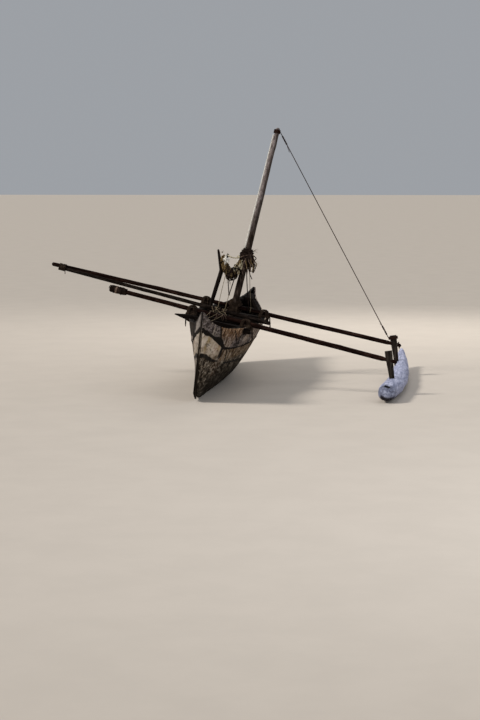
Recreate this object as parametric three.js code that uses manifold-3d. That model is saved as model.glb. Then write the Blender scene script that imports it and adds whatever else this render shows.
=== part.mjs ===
// Outrigger canoe with one float, drawn as it lies beached: keel and float on the ground.
// Millimetres, +X to the bow, +Y to port where the float is, +Z up.
import * as THREE from 'three';
import { mergeVertices } from 'three/addons/utils/BufferGeometryUtils.js';
import Module from 'manifold-3d';

const wasm = await Module();
wasm.setup();

const seat = 0.3;
const rad = THREE.MathUtils.degToRad;

// Hull, in its own upright frame: the keel line is the X axis
const heel = rad(9.7);
const bow = { headX: 2700, headZ: 864, footX: 2285, footZ: 110, keelX: 1907 };
const stern = { headX: -1880, headZ: 823, footX: -1500, footZ: 110, keelX: -1180 };
const waist = { height: 662, halfBeam: 350, halfFlat: 30, flare: 0.67, sternFineness: 0.5 };
const sheerRise = { bow: 5.5, stern: 4.5 };
const stemHalf = 15;
const plan = [
  // u from stern to bow, share of the full breadth
  [0, 0], [0.083, 0.19], [0.148, 0.41], [0.279, 0.75], [0.41, 0.98], [0.5, 1],
  [0.6, 0.955], [0.693, 0.82], [0.748, 0.71], [0.813, 0.53], [0.911, 0.25], [1, 0],
];
const wall = { base: 26, strake: 23, floor: 38 };
const seam = [
  // u from stern to bow, share of the height from keel to sheer
  [0, 0.79], [0.1, 0.745], [0.19, 0.705], [0.26, 0.7], [0.5, 0.7], [0.74, 0.7],
  [0.81, 0.709], [0.86, 0.753], [0.91, 0.806], [0.955, 0.828], [1, 0.824],
];

// Booms, float and rig, as they stand over the ground
const boomHeight = { gunwale: 634, post: 328 };
const boomSpan = { gunwaleY: 450, postY: 1764 };
const booms = [
  // name, x at the port gunwale, x at the post, y of the free end, radius at the hull, radius at the ends
  { name: 'fore', gunwaleX: 1300, postX: 1518, freeY: -970, radius: 28, endRadius: 22 },
  { name: 'aft', gunwaleX: -142, postX: -230, freeY: -1790, radius: 27, endRadius: 21 },
];
const boomSides = 14;
const tenon = { radius: 18, past: 78, shoulder: 48 };
const post = { rise: 92, topWidth: 68, footWidth: 42, topDepth: 40, footDepth: 32, sink: 55, lean: rad(8) };
const key = { past: 50, half: 7, length: 70 };
const heelLift = waist.halfFlat * Math.sin(heel);

const timber = (color, roughness = 0.85) => new THREE.MeshStandardMaterial({ color, roughness, metalness: 0 });
const finish = {
  dugout: timber(0x6b6258),
  strake: timber(0xb9b6ae),
  inner: timber(0x4a4038),
  boom: timber(0x3a2722),
  pole: timber(0x2f2724),
  mast: timber(0x6f655c),
  post: timber(0x3a332f),
  float: timber(0xb6bfd2, 0.6),
  rope: timber(0x8a7752, 0.95),
  stay: timber(0x2b2522, 0.95),
};

const canoe = new THREE.Group();
const hull = new THREE.Group();
hull.rotation.x = -heel;
hull.position.z = heelLift;
canoe.add(hull);

const addTo = (parent, name, geometry, material) => {
  const mesh = new THREE.Mesh(geometry, material);
  mesh.name = name;
  parent.add(mesh);
  return mesh;
};

// Solids: rings of points joined into one closed skin
const vec = (x, y, z) => new THREE.Vector3(x, y, z);
const xAxis = vec(1, 0, 0);

const capTriangles = (ring) => {
  const normal = vec(0, 0, 0);
  ring.forEach((a, i) => {
    const b = ring[(i + 1) % ring.length];
    normal.add(a.clone().cross(b));
  });
  normal.normalize();
  const across = Math.abs(normal.z) < 0.9 ? vec(0, 0, 1).cross(normal).normalize() : vec(1, 0, 0);
  const along = normal.clone().cross(across);
  const flat = ring.map((p) => new THREE.Vector2(p.dot(across), p.dot(along)));
  return THREE.ShapeUtils.triangulateShape(flat, []);
};

const closedSkin = (points, faces) => {
  const volume = faces.reduce((sum, [a, b, c]) => sum + points[a].dot(points[b].clone().cross(points[c])), 0);
  const turned = volume < 0 ? faces.map(([a, b, c]) => [a, c, b]) : faces;
  const flat = points.flatMap((p) => p.toArray());
  const geometry = new THREE.BufferGeometry();
  geometry.setAttribute('position', new THREE.Float32BufferAttribute(flat, 3));
  geometry.setIndex(turned.flat());
  return geometry;
};

const loft = (rings, isLoop = false) => {
  const count = rings[0].length;
  const faces = [];
  const bands = isLoop ? rings.length : rings.length - 1;
  for (let i = 0; i < bands; i += 1) {
    const next = (i + 1) % rings.length;
    for (let j = 0; j < count; j += 1) {
      const k = (j + 1) % count;
      const [a, b, c, d] = [i * count + j, i * count + k, next * count + k, next * count + j];
      faces.push([a, b, c], [a, c, d]);
    }
  }
  if (!isLoop) {
    const last = (rings.length - 1) * count;
    capTriangles(rings[0]).forEach(([a, b, c]) => faces.push([c, b, a]));
    capTriangles(rings.at(-1)).forEach(([a, b, c]) => faces.push([last + a, last + b, last + c]));
  }
  return closedSkin(rings.flat(), faces);
};

const toSolid = (geometry) => {
  const bare = geometry.clone();
  bare.deleteAttribute('normal');
  bare.deleteAttribute('uv');
  const merged = mergeVertices(bare, 1e-4);
  return new wasm.Manifold(new wasm.Mesh({
    numProp: 3,
    vertProperties: new Float32Array(merged.attributes.position.array),
    triVerts: new Uint32Array(merged.index.array),
  }));
};

const fromSolid = (solid) => {
  const { vertProperties, triVerts } = solid.getMesh();
  const geometry = new THREE.BufferGeometry();
  geometry.setAttribute('position', new THREE.BufferAttribute(vertProperties, 3));
  geometry.setIndex(new THREE.BufferAttribute(triVerts, 1));
  return geometry;
};

const cut = (geometry, ...tools) => fromSolid(
  tools.reduce((solid, tool) => solid.subtract(toSolid(tool)), toSolid(geometry)),
);
const join = (...geometries) => fromSolid(
  geometries.map(toSolid).reduce((all, solid) => all.add(solid)),
);

// Four corners of a bar's section: half its width and half its depth as vectors
const corners = (centre, wide, deep) => [[-1, -1], [1, -1], [1, 1], [-1, 1]].map(
  ([a, b]) => centre.clone().addScaledVector(wide, a).addScaledVector(deep, b),
);
const scaled = (direction, length) => direction.clone().multiplyScalar(length);

// A round pole or rope through a list of points, each with its radius
const pole = (points, radii, sides = 10, isLoop = false) => {
  const count = points.length;
  const radiusAt = (i) => (Array.isArray(radii) ? radii[i] : radii);
  const tangentAt = (i) => {
    const before = isLoop ? points[(i + count - 1) % count] : points[Math.max(i - 1, 0)];
    const after = isLoop ? points[(i + 1) % count] : points[Math.min(i + 1, count - 1)];
    return after.clone().sub(before).normalize();
  };
  const first = tangentAt(0);
  let side = Math.abs(first.z) < 0.8 ? vec(0, 0, 1) : vec(1, 0, 0);
  if (isLoop) {
    const middle = points.reduce((sum, p) => sum.add(p), vec(0, 0, 0)).divideScalar(count);
    side = points[0].clone().sub(middle).cross(first);
  }
  const rings = points.map((point, i) => {
    const tangent = tangentAt(i);
    side = side.clone().addScaledVector(tangent, -side.dot(tangent)).normalize();
    const other = tangent.clone().cross(side);
    return Array.from({ length: sides }, (_, k) => {
      const turn = (2 * Math.PI * k) / sides;
      const outwards = scaled(side, Math.cos(turn)).addScaledVector(other, Math.sin(turn));
      return point.clone().addScaledVector(outwards, radiusAt(i));
    });
  });
  return loft(rings, isLoop);
};

// The same pole made thicker and longer by a clearance
const grown = (points, radii, sides, grow) => {
  const past = (from, to) => to.clone().addScaledVector(to.clone().sub(from).normalize(), grow);
  const first = past(points[1], points[0]);
  const last = past(points.at(-2), points.at(-1));
  return pole([first, ...points.slice(1, -1), last], radii.map((radius) => radius + grow), sides);
};

// Hull surface: u runs from stern to bow, v from keel to sheer
const stemX = (end, z) => {
  if (z >= end.footZ) {
    return end.footX + ((end.headX - end.footX) * (z - end.footZ)) / (end.headZ - end.footZ);
  }
  const fall = 1 - Math.max(z, 0) / end.footZ;
  return end.keelX + (end.footX - end.keelX) * Math.sqrt(1 - fall * fall);
};
const sheerZ = (u) => {
  const [head, rise] = u > 0.5 ? [bow.headZ, sheerRise.bow] : [stern.headZ, sheerRise.stern];
  return waist.height + (head - waist.height) * Math.abs(2 * u - 1) ** rise;
};

// Smooth line through the rows of a table of pairs
const through = (rows) => {
  const slopes = rows.map((row, i) => {
    const before = rows[Math.max(i - 1, 0)];
    const after = rows[Math.min(i + 1, rows.length - 1)];
    return (after[1] - before[1]) / (after[0] - before[0]);
  });
  return (at) => {
    const found = rows.findIndex((row) => row[0] >= at);
    const i = THREE.MathUtils.clamp(found === -1 ? rows.length - 1 : found, 1, rows.length - 1);
    const [[a, p], [b, q]] = [rows[i - 1], rows[i]];
    const t = THREE.MathUtils.clamp((at - a) / (b - a), 0, 1);
    const [t2, t3] = [t * t, t * t * t];
    return p * (2 * t3 - 3 * t2 + 1) + q * (3 * t2 - 2 * t3)
      + (b - a) * (slopes[i - 1] * (t3 - 2 * t2 + t) + slopes[i] * (t3 - t2));
  };
};
const planShare = through(plan);

const hullX = (u, v) => {
  const aft = stemX(stern, v * stern.headZ);
  const fore = stemX(bow, v * bow.headZ);
  return aft + (fore - aft) * u;
};
const hullZ = (u, v) => v * sheerZ(u);
const hullY = (u, v) => {
  const breadth = waist.halfFlat + (waist.halfBeam - waist.halfFlat) * v ** waist.flare;
  const fineness = u < 0.5 ? waist.sternFineness : 0;
  return stemHalf + (breadth - stemHalf) * planShare(u) ** (1 + fineness * (1 - v));
};
const seamV = through(seam);
const hullU = (x, v) => (x - hullX(0, v)) / (hullX(1, v) - hullX(0, v));

const settleSteps = 8;
const surfaceAt = (x, z) => {
  let v = z / waist.height;
  for (let i = 0; i < settleSteps; i += 1) {
    v = Math.min(z / sheerZ(hullU(x, v)), 1);
  }
  return [hullU(x, v), v];
};
const sheerAt = (x) => sheerZ(hullU(x, 1));

const spaced = (from, to, count) => {
  const step = (to - from) / count;
  return Array.from({ length: count + 1 }, (_, i) => from + step * i);
};
const crowding = { from: 0.12, to: 0.88 };
const eased = (count) => spaced(crowding.from, crowding.to, count)
  .map((t) => -Math.cos(Math.PI * t))
  .map((s, _, all) => (s - all[0]) / (all.at(-1) - all[0]));
const stations = eased(26);

// Dugout base: solid ends, hollow between them
const hollow = { from: 0.045, ramp: 0.1, least: 0.03, leastWidth: 0.3 };
const hollowDepth = (u) => {
  const inside = Math.min(u, 1 - u) - hollow.from;
  const t = THREE.MathUtils.clamp(inside / hollow.ramp, 0, 1);
  return hollow.least + (1 - hollow.least) * t * t * (3 - 2 * t);
};
const lowCrowding = 1.6;
const levels = spaced(0, 1, 8).map((t) => t ** lowCrowding);
const baseInner = (u, v) => {
  const y = hullY(u, v);
  return Math.max(y - wall.base, hollow.leastWidth * y);
};
const mirrored = (ring) => ring.map((p) => vec(p.x, -p.y, p.z)).reverse();
const baseRing = (u) => {
  const top = seamV(u);
  const topZ = hullZ(u, top);
  const floorV = wall.floor / sheerZ(u);
  const depth = hollowDepth(u);
  const outer = levels.map((t) => t * top).map((v) => vec(hullX(u, v), hullY(u, v), hullZ(u, v))).reverse();
  const inner = levels.map((t) => {
    const v = floorV + (top - floorV) * t;
    const z = topZ - depth * (topZ - hullZ(u, v));
    return vec(hullX(u, z / sheerZ(u)), baseInner(u, v), z);
  });
  return [...outer, ...mirrored(outer), ...mirrored(inner), ...inner];
};
const baseMesh = addTo(hull, 'dugout_base', loft(stations.map(baseRing)), finish.dugout);

// Washstrakes on the base, one plank to a side, from stem to stem
const strakeInner = (u, v) => Math.max(hullY(u, v) - wall.strake, 0.5);
const strakeLevels = spaced(0, 1, 3);
const strakeRing = (side) => (u) => {
  const bottom = seamV(u) + seat / sheerZ(u);
  const heights = strakeLevels.map((t) => bottom + (1 - bottom) * t);
  const outer = heights.map((v) => vec(hullX(u, v), side * hullY(u, v), hullZ(u, v)));
  const inner = heights.map((v) => vec(hullX(u, v), side * strakeInner(u, v), hullZ(u, v)));
  return [...outer, ...inner.reverse()];
};

// A solid across the inside of the hull: its sides reach a little into the planks and are trimmed to them
const trim = (geometry, planks, gaps) => cut(
  geometry,
  ...gaps.map(([y, z]) => planks.clone().translate(0, y, z)),
);
const acrossHull = (fromX, toX, bottomZ, topZ, insideY, steps = 1) => {
  const ringAt = (x) => {
    const [low, high] = [bottomZ(x), topZ(x)].map((z) => {
      const [u, v] = surfaceAt(x, z);
      return vec(x, insideY(u, v), z);
    });
    return [low, high, vec(x, -high.y, high.z), vec(x, -low.y, low.z)];
  };
  return loft(spaced(fromX, toX, steps).map(ringAt));
};

// Inwales: a stringer inside the top edge of each strake
const inwale = { width: 26, depth: 34, from: 0.1, to: 0.905, clear: 0.7 };
const inwaleRing = (side) => (u) => {
  const low = 1 - inwale.depth / sheerZ(u);
  const outerTop = strakeInner(u, 1) - inwale.clear;
  const outerLow = strakeInner(u, low) - inwale.clear;
  return [
    vec(hullX(u, 1), side * outerTop, hullZ(u, 1)),
    vec(hullX(u, low), side * outerLow, hullZ(u, low)),
    vec(hullX(u, low), side * (outerLow - inwale.width), hullZ(u, low)),
    vec(hullX(u, 1), side * (outerTop - inwale.width), hullZ(u, 1)),
  ];
};

// Places where the booms cross the strakes, in the hull's frame
const toHull = (p) => p.clone().sub(vec(0, 0, heelLift)).applyAxisAngle(xAxis, heel);
const toGround = (p) => p.clone().applyAxisAngle(xAxis, -heel).add(vec(0, 0, heelLift));
for (const boom of booms) {
  boom.atGunwale = vec(boom.gunwaleX, boomSpan.gunwaleY, boomHeight.gunwale);
  boom.atPost = vec(boom.postX, boomSpan.postY, boomHeight.post);
  boom.along = boom.atPost.clone().sub(boom.atGunwale).normalize();
  boom.alongInHull = boom.along.clone().applyAxisAngle(xAxis, heel);
}
const crossing = (boom, side) => {
  const point = toHull(boom.atGunwale);
  for (let i = 0; i < settleSteps; i += 1) {
    const middleY = side * (strakeInner(hullU(point.x, 1), 1) - (inwale.width - wall.strake) / 2);
    point.addScaledVector(boom.alongInHull, (middleY - point.y) / boom.alongInHull.y);
  }
  return point;
};
const block = (fromPoint, toPoint) => {
  const size = toPoint.clone().sub(fromPoint);
  const box = new THREE.BoxGeometry(size.x, size.y, size.z);
  box.translate((fromPoint.x + toPoint.x) / 2, (fromPoint.y + toPoint.y) / 2, (fromPoint.z + toPoint.z) / 2);
  return box;
};
const hole = { halfLength: 66, height: 44, through: 60 };
const lashingHole = (boom, side) => {
  const { x, y } = crossing(boom, side);
  const top = sheerAt(x) - inwale.depth;
  const low = vec(x - hole.halfLength, y - hole.through, top - hole.height);
  return block(low, vec(x + hole.halfLength, y + hole.through, top));
};

// Crossbeam let into both strakes under the fore boom, its starboard end tapered
const crossbeam = { x: 1396, drop: 6, slope: 0.058 };
const crossbeamEnds = [
  // y, width, depth
  [-415, 31, 8],
  [-308, 62, 46],
  [330, 62, 46],
];
const crossbeamBody = (grow) => {
  const [portY, , portDepth] = crossbeamEnds.at(-1);
  const middle = sheerAt(crossbeam.x) - crossbeam.drop - portDepth / 2;
  return loft(crossbeamEnds.map(([y, width, depth]) => corners(
    vec(crossbeam.x, y, middle + (portY - y) * crossbeam.slope),
    vec(width / 2 + grow, 0, 0),
    vec(0, 0, depth / 2 + grow),
  )));
};
addTo(hull, 'crossbeam_fore', crossbeamBody(0), finish.inner);

// Each washstrake is three planks, butted on a slant: the body is everything to one side of a butt
const butts = {
  fore: { x: 1936, z: 510, lean: 1.12 },
  aft: { x: -1000, z: 510, lean: -0.8 },
};
const farPast = 5000;
const pastButt = ({ x, z, lean }, towards) => {
  const ends = towards > 0 ? [0, farPast] : [-farPast, 0];
  const body = block(vec(ends[0], -farPast, -farPast), vec(ends[1], farPast, farPast));
  body.rotateY(Math.atan(lean));
  body.translate(x - (towards * seat) / 2, 0, z);
  return body;
};

const sides = [['port', 1], ['starboard', -1]];
const inwaleStations = stations.filter((u) => u > inwale.from && u < inwale.to);
const strakes = {};
for (const [name, side] of sides) {
  const holes = booms.map((boom) => lashingHole(boom, side));
  strakes[name] = cut(loft(stations.map(strakeRing(side))), crossbeamBody(seat), ...holes);
  const cuts = {
    fore: [pastButt(butts.fore, -1)],
    mid: [pastButt(butts.fore, 1), pastButt(butts.aft, -1)],
    aft: [pastButt(butts.aft, 1)],
  };
  for (const [part, tools] of Object.entries(cuts)) {
    addTo(hull, `strake_${name}_${part}`, cut(strakes[name], ...tools), finish.strake);
  }
  const stringer = loft(inwaleStations.map(inwaleRing(side)));
  addTo(hull, `inwale_${name}`, cut(stringer, crossbeamBody(seat)), finish.inner);
}
const trimToStrakes = (geometry) => sides.reduce(
  (body, [name, side]) => trim(body, strakes[name], [[-side * seat, 0]]),
  geometry,
);

// Breasthooks: the solid wedge between the strakes at each end
const hooks = [
  // name, x at the wide side, x at the narrow side
  ['bow', 2290, 2530],
  ['stern', -1450, -1670],
];
const hook = { below: 3, share: 0.88, into: 1.5, steps: 5 };
for (const [name, wideX, narrowX] of hooks) {
  const top = (x) => sheerAt(x) - hook.below;
  const bottom = (x) => sheerAt(x) * hook.share;
  const reach = (u, v) => strakeInner(u, v) + hook.into;
  const body = acrossHull(wideX, narrowX, bottom, top, reach, hook.steps);
  addTo(hull, `breasthook_${name}`, trimToStrakes(body), finish.inner);
}

// Thwarts: planks across the hull under the inwales
const thwarts = [
  // name, middle x, width along x, thickness
  ['thwart_stern', -1050, 150, 24],
  ['thwart_aft', -480, 130, 24],
  ['thwart_mast', 22, 184, 30],
  ['thwart_mid', 470, 120, 24],
  ['thwart_fore', 900, 120, 24],
  ['thwart_bow', 1790, 140, 24],
];
const mast = { foot: vec(34, -40, 128), head: vec(-326, 105, 2613), footRadius: 40, headRadius: 24, sides: 16 };
const mastTaper = [
  // z, radius
  [mast.foot.z, mast.footRadius], [900, 37], [1800, 31], [mast.head.z, mast.headRadius],
];
const mastAxis = mast.head.clone().sub(mast.foot).normalize();
const mastAt = (z) => mast.foot.clone().addScaledVector(mastAxis, (z - mast.foot.z) / mastAxis.z);
const mastBody = (grow) => grown(
  mastTaper.map(([z]) => mastAt(z)),
  mastTaper.map(([, radius]) => radius),
  mast.sides,
  grow,
);
const thwart = { below: 3, into: 1.5 };
const notch = { low: vec(-232, -446, 500), high: vec(-32, -246, 700) };
for (const [name, x, width, thick] of thwarts) {
  const top = (at) => sheerAt(at) - inwale.depth - thwart.below;
  const bottom = (at) => top(at) - thick;
  const reach = (u, v) => strakeInner(u, v) + thwart.into;
  const plank = trimToStrakes(acrossHull(x - width / 2, x + width / 2, bottom, top, reach));
  const holdsMast = name === 'thwart_mast';
  const fitted = holdsMast ? cut(plank, mastBody(seat), block(notch.low, notch.high)) : plank;
  addTo(hull, name, fitted, finish.inner);
}

// Mast step: a block across the dugout's floor with a socket for the mast's foot
const trimToBase = (geometry) => trim(geometry, baseMesh.geometry, [[-seat, seat], [seat, seat]]);
const step = { halfLength: 120, bottom: 45, top: 172, into: 4 };
const stepBlock = acrossHull(
  mast.foot.x - step.halfLength, mast.foot.x + step.halfLength,
  () => step.bottom, () => step.top, (u, v) => baseInner(u, v) + step.into,
);
addTo(hull, 'mast_step', cut(trimToBase(stepBlock), mastBody(seat)), finish.inner);

// Ribs: bent frames that follow the inside of the dugout
const ribs = [-900, -250, 650, 1150, 1600];
const rib = { width: 34, depth: 22, into: 3, rise: 0.6, topShare: 0.6, below: 12, leastHalf: 5 };
const ribRing = (x) => {
  const u = hullU(x, rib.topShare);
  const height = hullZ(u, seamV(u)) - rib.below;
  const wallPoints = levels.map((t) => {
    const z = wall.floor + (height - wall.floor) * t;
    return vec(x, baseInner(...surfaceAt(x, z)), z);
  });
  const shifted = (off) => wallPoints.map((p) => {
    const y = Math.max(p.y - off, rib.leastHalf);
    return vec(x, y, p.z + off * rib.rise);
  });
  const outer = shifted(-rib.into).reverse();
  const inner = shifted(rib.depth);
  return [...outer, ...mirrored(outer), ...mirrored(inner), ...inner];
};
ribs.forEach((x, i) => {
  const section = ribRing(x);
  const rings = [-rib.width / 2, rib.width / 2].map((off) => section.map((p) => vec(x + off, p.y, p.z)));
  addTo(hull, `rib_${i + 1}`, trimToBase(loft(rings)), finish.inner);
});

// Stem strips: a narrow batten down each stem and round the forefoot
const strip = { half: 9, thick: 14, edge: 0.7, clear: 0.5 };
const stripShares = { foot: [0.22, 0.67, 1], head: spaced(0.3, 1, 4) };
for (const [name, end, out] of [['bow', bow, 1], ['stern', stern, -1]]) {
  const heights = [
    ...stripShares.foot.map((t) => t * end.footZ),
    ...stripShares.head.map((t) => t * end.headZ),
  ];
  const rings = heights.map((z) => {
    const slope = (stemX(end, z + 1) - stemX(end, z - 1)) / 2;
    const normal = vec(out, 0, -slope * out).normalize();
    const onStem = vec(stemX(end, z), 0, z);
    const inner = onStem.clone().addScaledVector(normal, strip.clear);
    const outer = onStem.clone().addScaledVector(normal, strip.thick);
    const edge = strip.half * strip.edge;
    return [
      vec(inner.x, -strip.half, inner.z),
      vec(inner.x, strip.half, inner.z),
      vec(outer.x, edge, outer.z),
      vec(outer.x, -edge, outer.z),
    ];
  });
  const shiftedBase = baseMesh.geometry.clone().translate(out * seat, 0, -seat);
  addTo(hull, `stem_strip_${name}`, cut(loft(rings), shiftedBase), finish.dugout);
}

addTo(hull, 'mast', mastBody(0), finish.mast);

// Float: a curved log, blunt at the fore end and pointed aft
const floatLog = [
  // x, y, z of the middle, half width, half height
  [2165, 1742, 92, 48, 46],
  [2120, 1756, 90, 77, 72],
  [1960, 1764, 86, 90, 82],
  [1518, 1800, 80, 98, 80],
  [900, 1838, 80, 92, 80],
  [300, 1846, 82, 84, 78],
  [-300, 1840, 88, 74, 72],
  [-750, 1832, 108, 60, 60],
  [-1020, 1826, 148, 40, 42],
  [-1144, 1823, 184, 18, 20],
];
const floatSides = 20;
const floatRing = ([x, y, z, wide, high]) => Array.from({ length: floatSides }, (_, k) => {
  const turn = (2 * Math.PI * k) / floatSides;
  return vec(x, y + wide * Math.cos(turn), z + high * Math.sin(turn));
});
const floatTop = (x) => {
  const i = floatLog.findIndex((row) => row[0] < x);
  const [a, b] = [floatLog[i - 1], floatLog[i]];
  const t = (a[0] - x) / (a[0] - b[0]);
  return a.map((value, k) => value + (b[k] - value) * t);
};

// Booms and the posts that carry the float; the posts lean in towards the hull at their heads
const postUp = vec(0, -Math.sin(post.lean), Math.cos(post.lean));
const postOut = vec(0, postUp.z, -postUp.y);
const postCutters = [];
for (const boom of booms) {
  const { atPost, along } = boom;
  const fromPost = (distance) => atPost.clone().addScaledVector(along, distance);
  const freeLength = (boom.freeY - boomSpan.postY) / along.y;
  const taper = [
    // distance along the boom from its post, radius
    [freeLength, boom.endRadius],
    [freeLength * 0.72, boom.radius * 0.93],
    [-1350, boom.radius],
    [-520, boom.radius * 0.9],
    [-tenon.shoulder - 22, boom.endRadius + 2],
    [-tenon.shoulder, tenon.radius],
    [tenon.past, tenon.radius],
  ];
  const points = taper.map(([distance]) => fromPost(distance));
  boom.body = (grow) => grown(points, taper.map(([, radius]) => radius), boomSides, grow);
  boom.at = (y) => fromPost((y - boomSpan.postY) / along.y);

  const [, , floatZ, , floatHigh] = floatTop(boom.postX);
  const down = (atPost.z - (floatZ + floatHigh)) / postUp.z + post.sink;
  const widths = [
    // height over the boom, width, depth
    [-down, post.footWidth, post.footDepth],
    [-down * 0.3, post.footWidth + 14, post.footDepth + 4],
    [post.rise * 0.45, post.topWidth, post.topDepth],
    [post.rise, post.topWidth, post.topDepth - 4],
  ];
  const postBody = (grow) => loft(widths.map(([height, width, depth], i) => corners(
    atPost.clone().addScaledVector(postUp, i === 0 ? height - grow : height),
    scaled(postOut, width / 2 + grow),
    scaled(xAxis, depth / 2 + grow),
  )));
  const bore = pole([fromPost(-post.topWidth), fromPost(2 * post.topWidth)], tenon.radius + seat, boomSides);
  addTo(canoe, `post_${boom.name}`, cut(postBody(0), bore), finish.post);
  postCutters.push(postBody(seat));

  const keyBody = (grow) => loft([-key.length / 2, key.length / 2].map((height) => corners(
    fromPost(key.past).addScaledVector(postUp, height),
    scaled(along, key.half + grow),
    scaled(xAxis, key.half + grow),
  )));
  addTo(canoe, `boom_${boom.name}`, cut(boom.body(0), keyBody(seat)), finish.boom);
  addTo(canoe, `key_${boom.name}`, keyBody(0), finish.post);
}
addTo(canoe, 'float', cut(loft(floatLog.map(floatRing)), ...postCutters), finish.float);

// Saddles: wooden chocks that carry the booms on the strakes
const saddle = { halfLength: 48, below: 7, proud: 3 };
const boomInHull = (boom) => {
  const body = boom.body(seat);
  body.translate(0, 0, -heelLift);
  body.rotateX(heel);
  return body;
};
for (const boom of booms) {
  for (const [name, side] of sides) {
    const { x, y, z } = crossing(boom, side);
    const ends = [x - saddle.halfLength, x + saddle.halfLength];
    const base = Math.max(...ends.map(sheerAt)) + seat;
    const half = (wall.strake + inwale.width) / 2 - saddle.proud;
    const body = block(vec(ends[0], y - half, base), vec(ends[1], y + half, z - saddle.below));
    addTo(hull, `saddle_${boom.name}_${name}`, cut(body, boomInHull(boom)), finish.inner);
  }
}

// Lashings: diagonal turns of rope round two members that cross
const rope = { radius: 8, points: 16, pitch: 13, sides: 6, square: 0.85, reach: 74, over: 10, under: 22 };
const ropeLoop = (centre, wide, high, halfWide, halfHigh, radius = rope.radius) => {
  const points = Array.from({ length: rope.points }, (_, i) => {
    const turn = (2 * Math.PI * (i + 0.5)) / rope.points;
    const [c, n] = [Math.cos(turn), Math.sin(turn)];
    const square = Math.max(Math.abs(c), Math.abs(n)) ** rope.square;
    const along = scaled(wide, (halfWide * c) / square);
    return centre.clone().add(along).addScaledVector(high, (halfHigh * n) / square);
  });
  return pole(points, radius, rope.sides, true);
};
const crossLashing = (centre, axisA, axisB, apart, halfWide, halfHigh) => {
  const loops = [1, -1].flatMap((sign) => {
    const wide = axisA.clone().addScaledVector(axisB, sign).normalize();
    const shift = axisA.clone().addScaledVector(axisB, -sign).normalize();
    return [-rope.pitch / 2, rope.pitch / 2].map((off) => {
      const middle = centre.clone().addScaledVector(shift, off);
      return ropeLoop(middle, wide, apart, halfWide, halfHigh);
    });
  });
  return join(...loops);
};
for (const boom of booms) {
  for (const [name, side] of sides) {
    const over = crossing(boom, side);
    const top = over.z + boom.radius + rope.over;
    const bottom = sheerAt(over.x) - inwale.depth - rope.under;
    const centre = vec(over.x, over.y, (top + bottom) / 2);
    const halfHigh = (top - bottom) / 2;
    const turns = crossLashing(centre, xAxis, boom.alongInHull, vec(0, 0, 1), rope.reach, halfHigh);
    const nodes = [`inwale_${name}`, 'thwart_mast'].map((node) => hull.getObjectByName(node).geometry);
    const clear = [strakes[name], ...nodes].reduce(
      (body, solid) => trim(body, solid, [[seat, -seat], [-seat, -seat], [0, seat]]),
      turns,
    );
    addTo(hull, `lashing_${boom.name}_${name}`, clear, finish.rope);
  }
}

// Lashing of the mast to the aft boom
const [foreBoom, aftBoom] = booms;
const mastTie = { height: 722, aft: 28.9, halfWide: 75, halfHigh: 75.2 };
const tieCentre = mastAt(mastTie.height).add(vec(-mastTie.aft, 0, 0));
const mastTurns = crossLashing(
  tieCentre, aftBoom.alongInHull, mastAxis, xAxis, mastTie.halfWide, mastTie.halfHigh,
);
addTo(hull, 'lashing_mast', mastTurns, finish.rope);

// Spare spar laid across the hull, its outer end lashed to the aft boom
const spar = { tip: vec(38, -1712, 1122), end: vec(631, 560, 596.4), radius: 21, tipRadius: 18, sides: 12 };
const sparAxis = spar.end.clone().sub(spar.tip).normalize();
const sparBody = pole(
  [spar.tip, spar.tip.clone().lerp(spar.end, 0.5), spar.end],
  [spar.tipRadius, spar.radius, spar.radius],
  spar.sides,
);
addTo(canoe, 'spar', sparBody, finish.pole);
const tipTie = { y: [-1664, -1677, -1690], around: 28.8, halfHigh: 30 };
const tipLoops = tipTie.y.map((y) => {
  const onBoom = aftBoom.at(y);
  const onSpar = spar.tip.clone().addScaledVector(sparAxis, (y - spar.tip.y) / sparAxis.y);
  const wide = onSpar.clone().sub(onBoom).normalize();
  const high = wide.clone().cross(aftBoom.along).normalize();
  const halfWide = onBoom.distanceTo(onSpar) / 2 + tipTie.around;
  return ropeLoop(onBoom.clone().lerp(onSpar, 0.5), wide, high, halfWide, tipTie.halfHigh);
});
addTo(canoe, 'lashing_spar_tip', join(...tipLoops), finish.rope);

// Grip: the bound end of the fore boom
const grip = { fromY: -985, toY: -815, radii: [32, 40, 37, 40, 31], sides: 12 };
const gripPoints = spaced(grip.fromY, grip.toY, grip.radii.length - 1).map(foreBoom.at);
const gripBody = cut(pole(gripPoints, grip.radii, grip.sides), foreBoom.body(seat));
addTo(canoe, 'grip_boom_fore', gripBody, finish.rope);

// Crutch: a forked post beside the mast
const crutch = { foot: vec(-6, -256, 628.4), fork: vec(-24, -192, 1090), radii: [21, 24], sides: 12 };
const prong = { radii: [21, 12], drop: 22, out: 4 };
prong.tips = [vec(-24, -154, 1252), vec(-24, -268, 1284)];
const crutchBody = (grow) => {
  const stem = grown([crutch.foot, crutch.fork], crutch.radii, crutch.sides, grow);
  const prongs = prong.tips.map((tip) => {
    const out = prong.out * Math.sign(tip.y - crutch.fork.y);
    const root = crutch.fork.clone().add(vec(0, out, -prong.drop));
    return grown([root, tip], prong.radii, crutch.sides, grow);
  });
  return join(stem, ...prongs);
};
addTo(hull, 'crutch', crutchBody(0), finish.pole);

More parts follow.
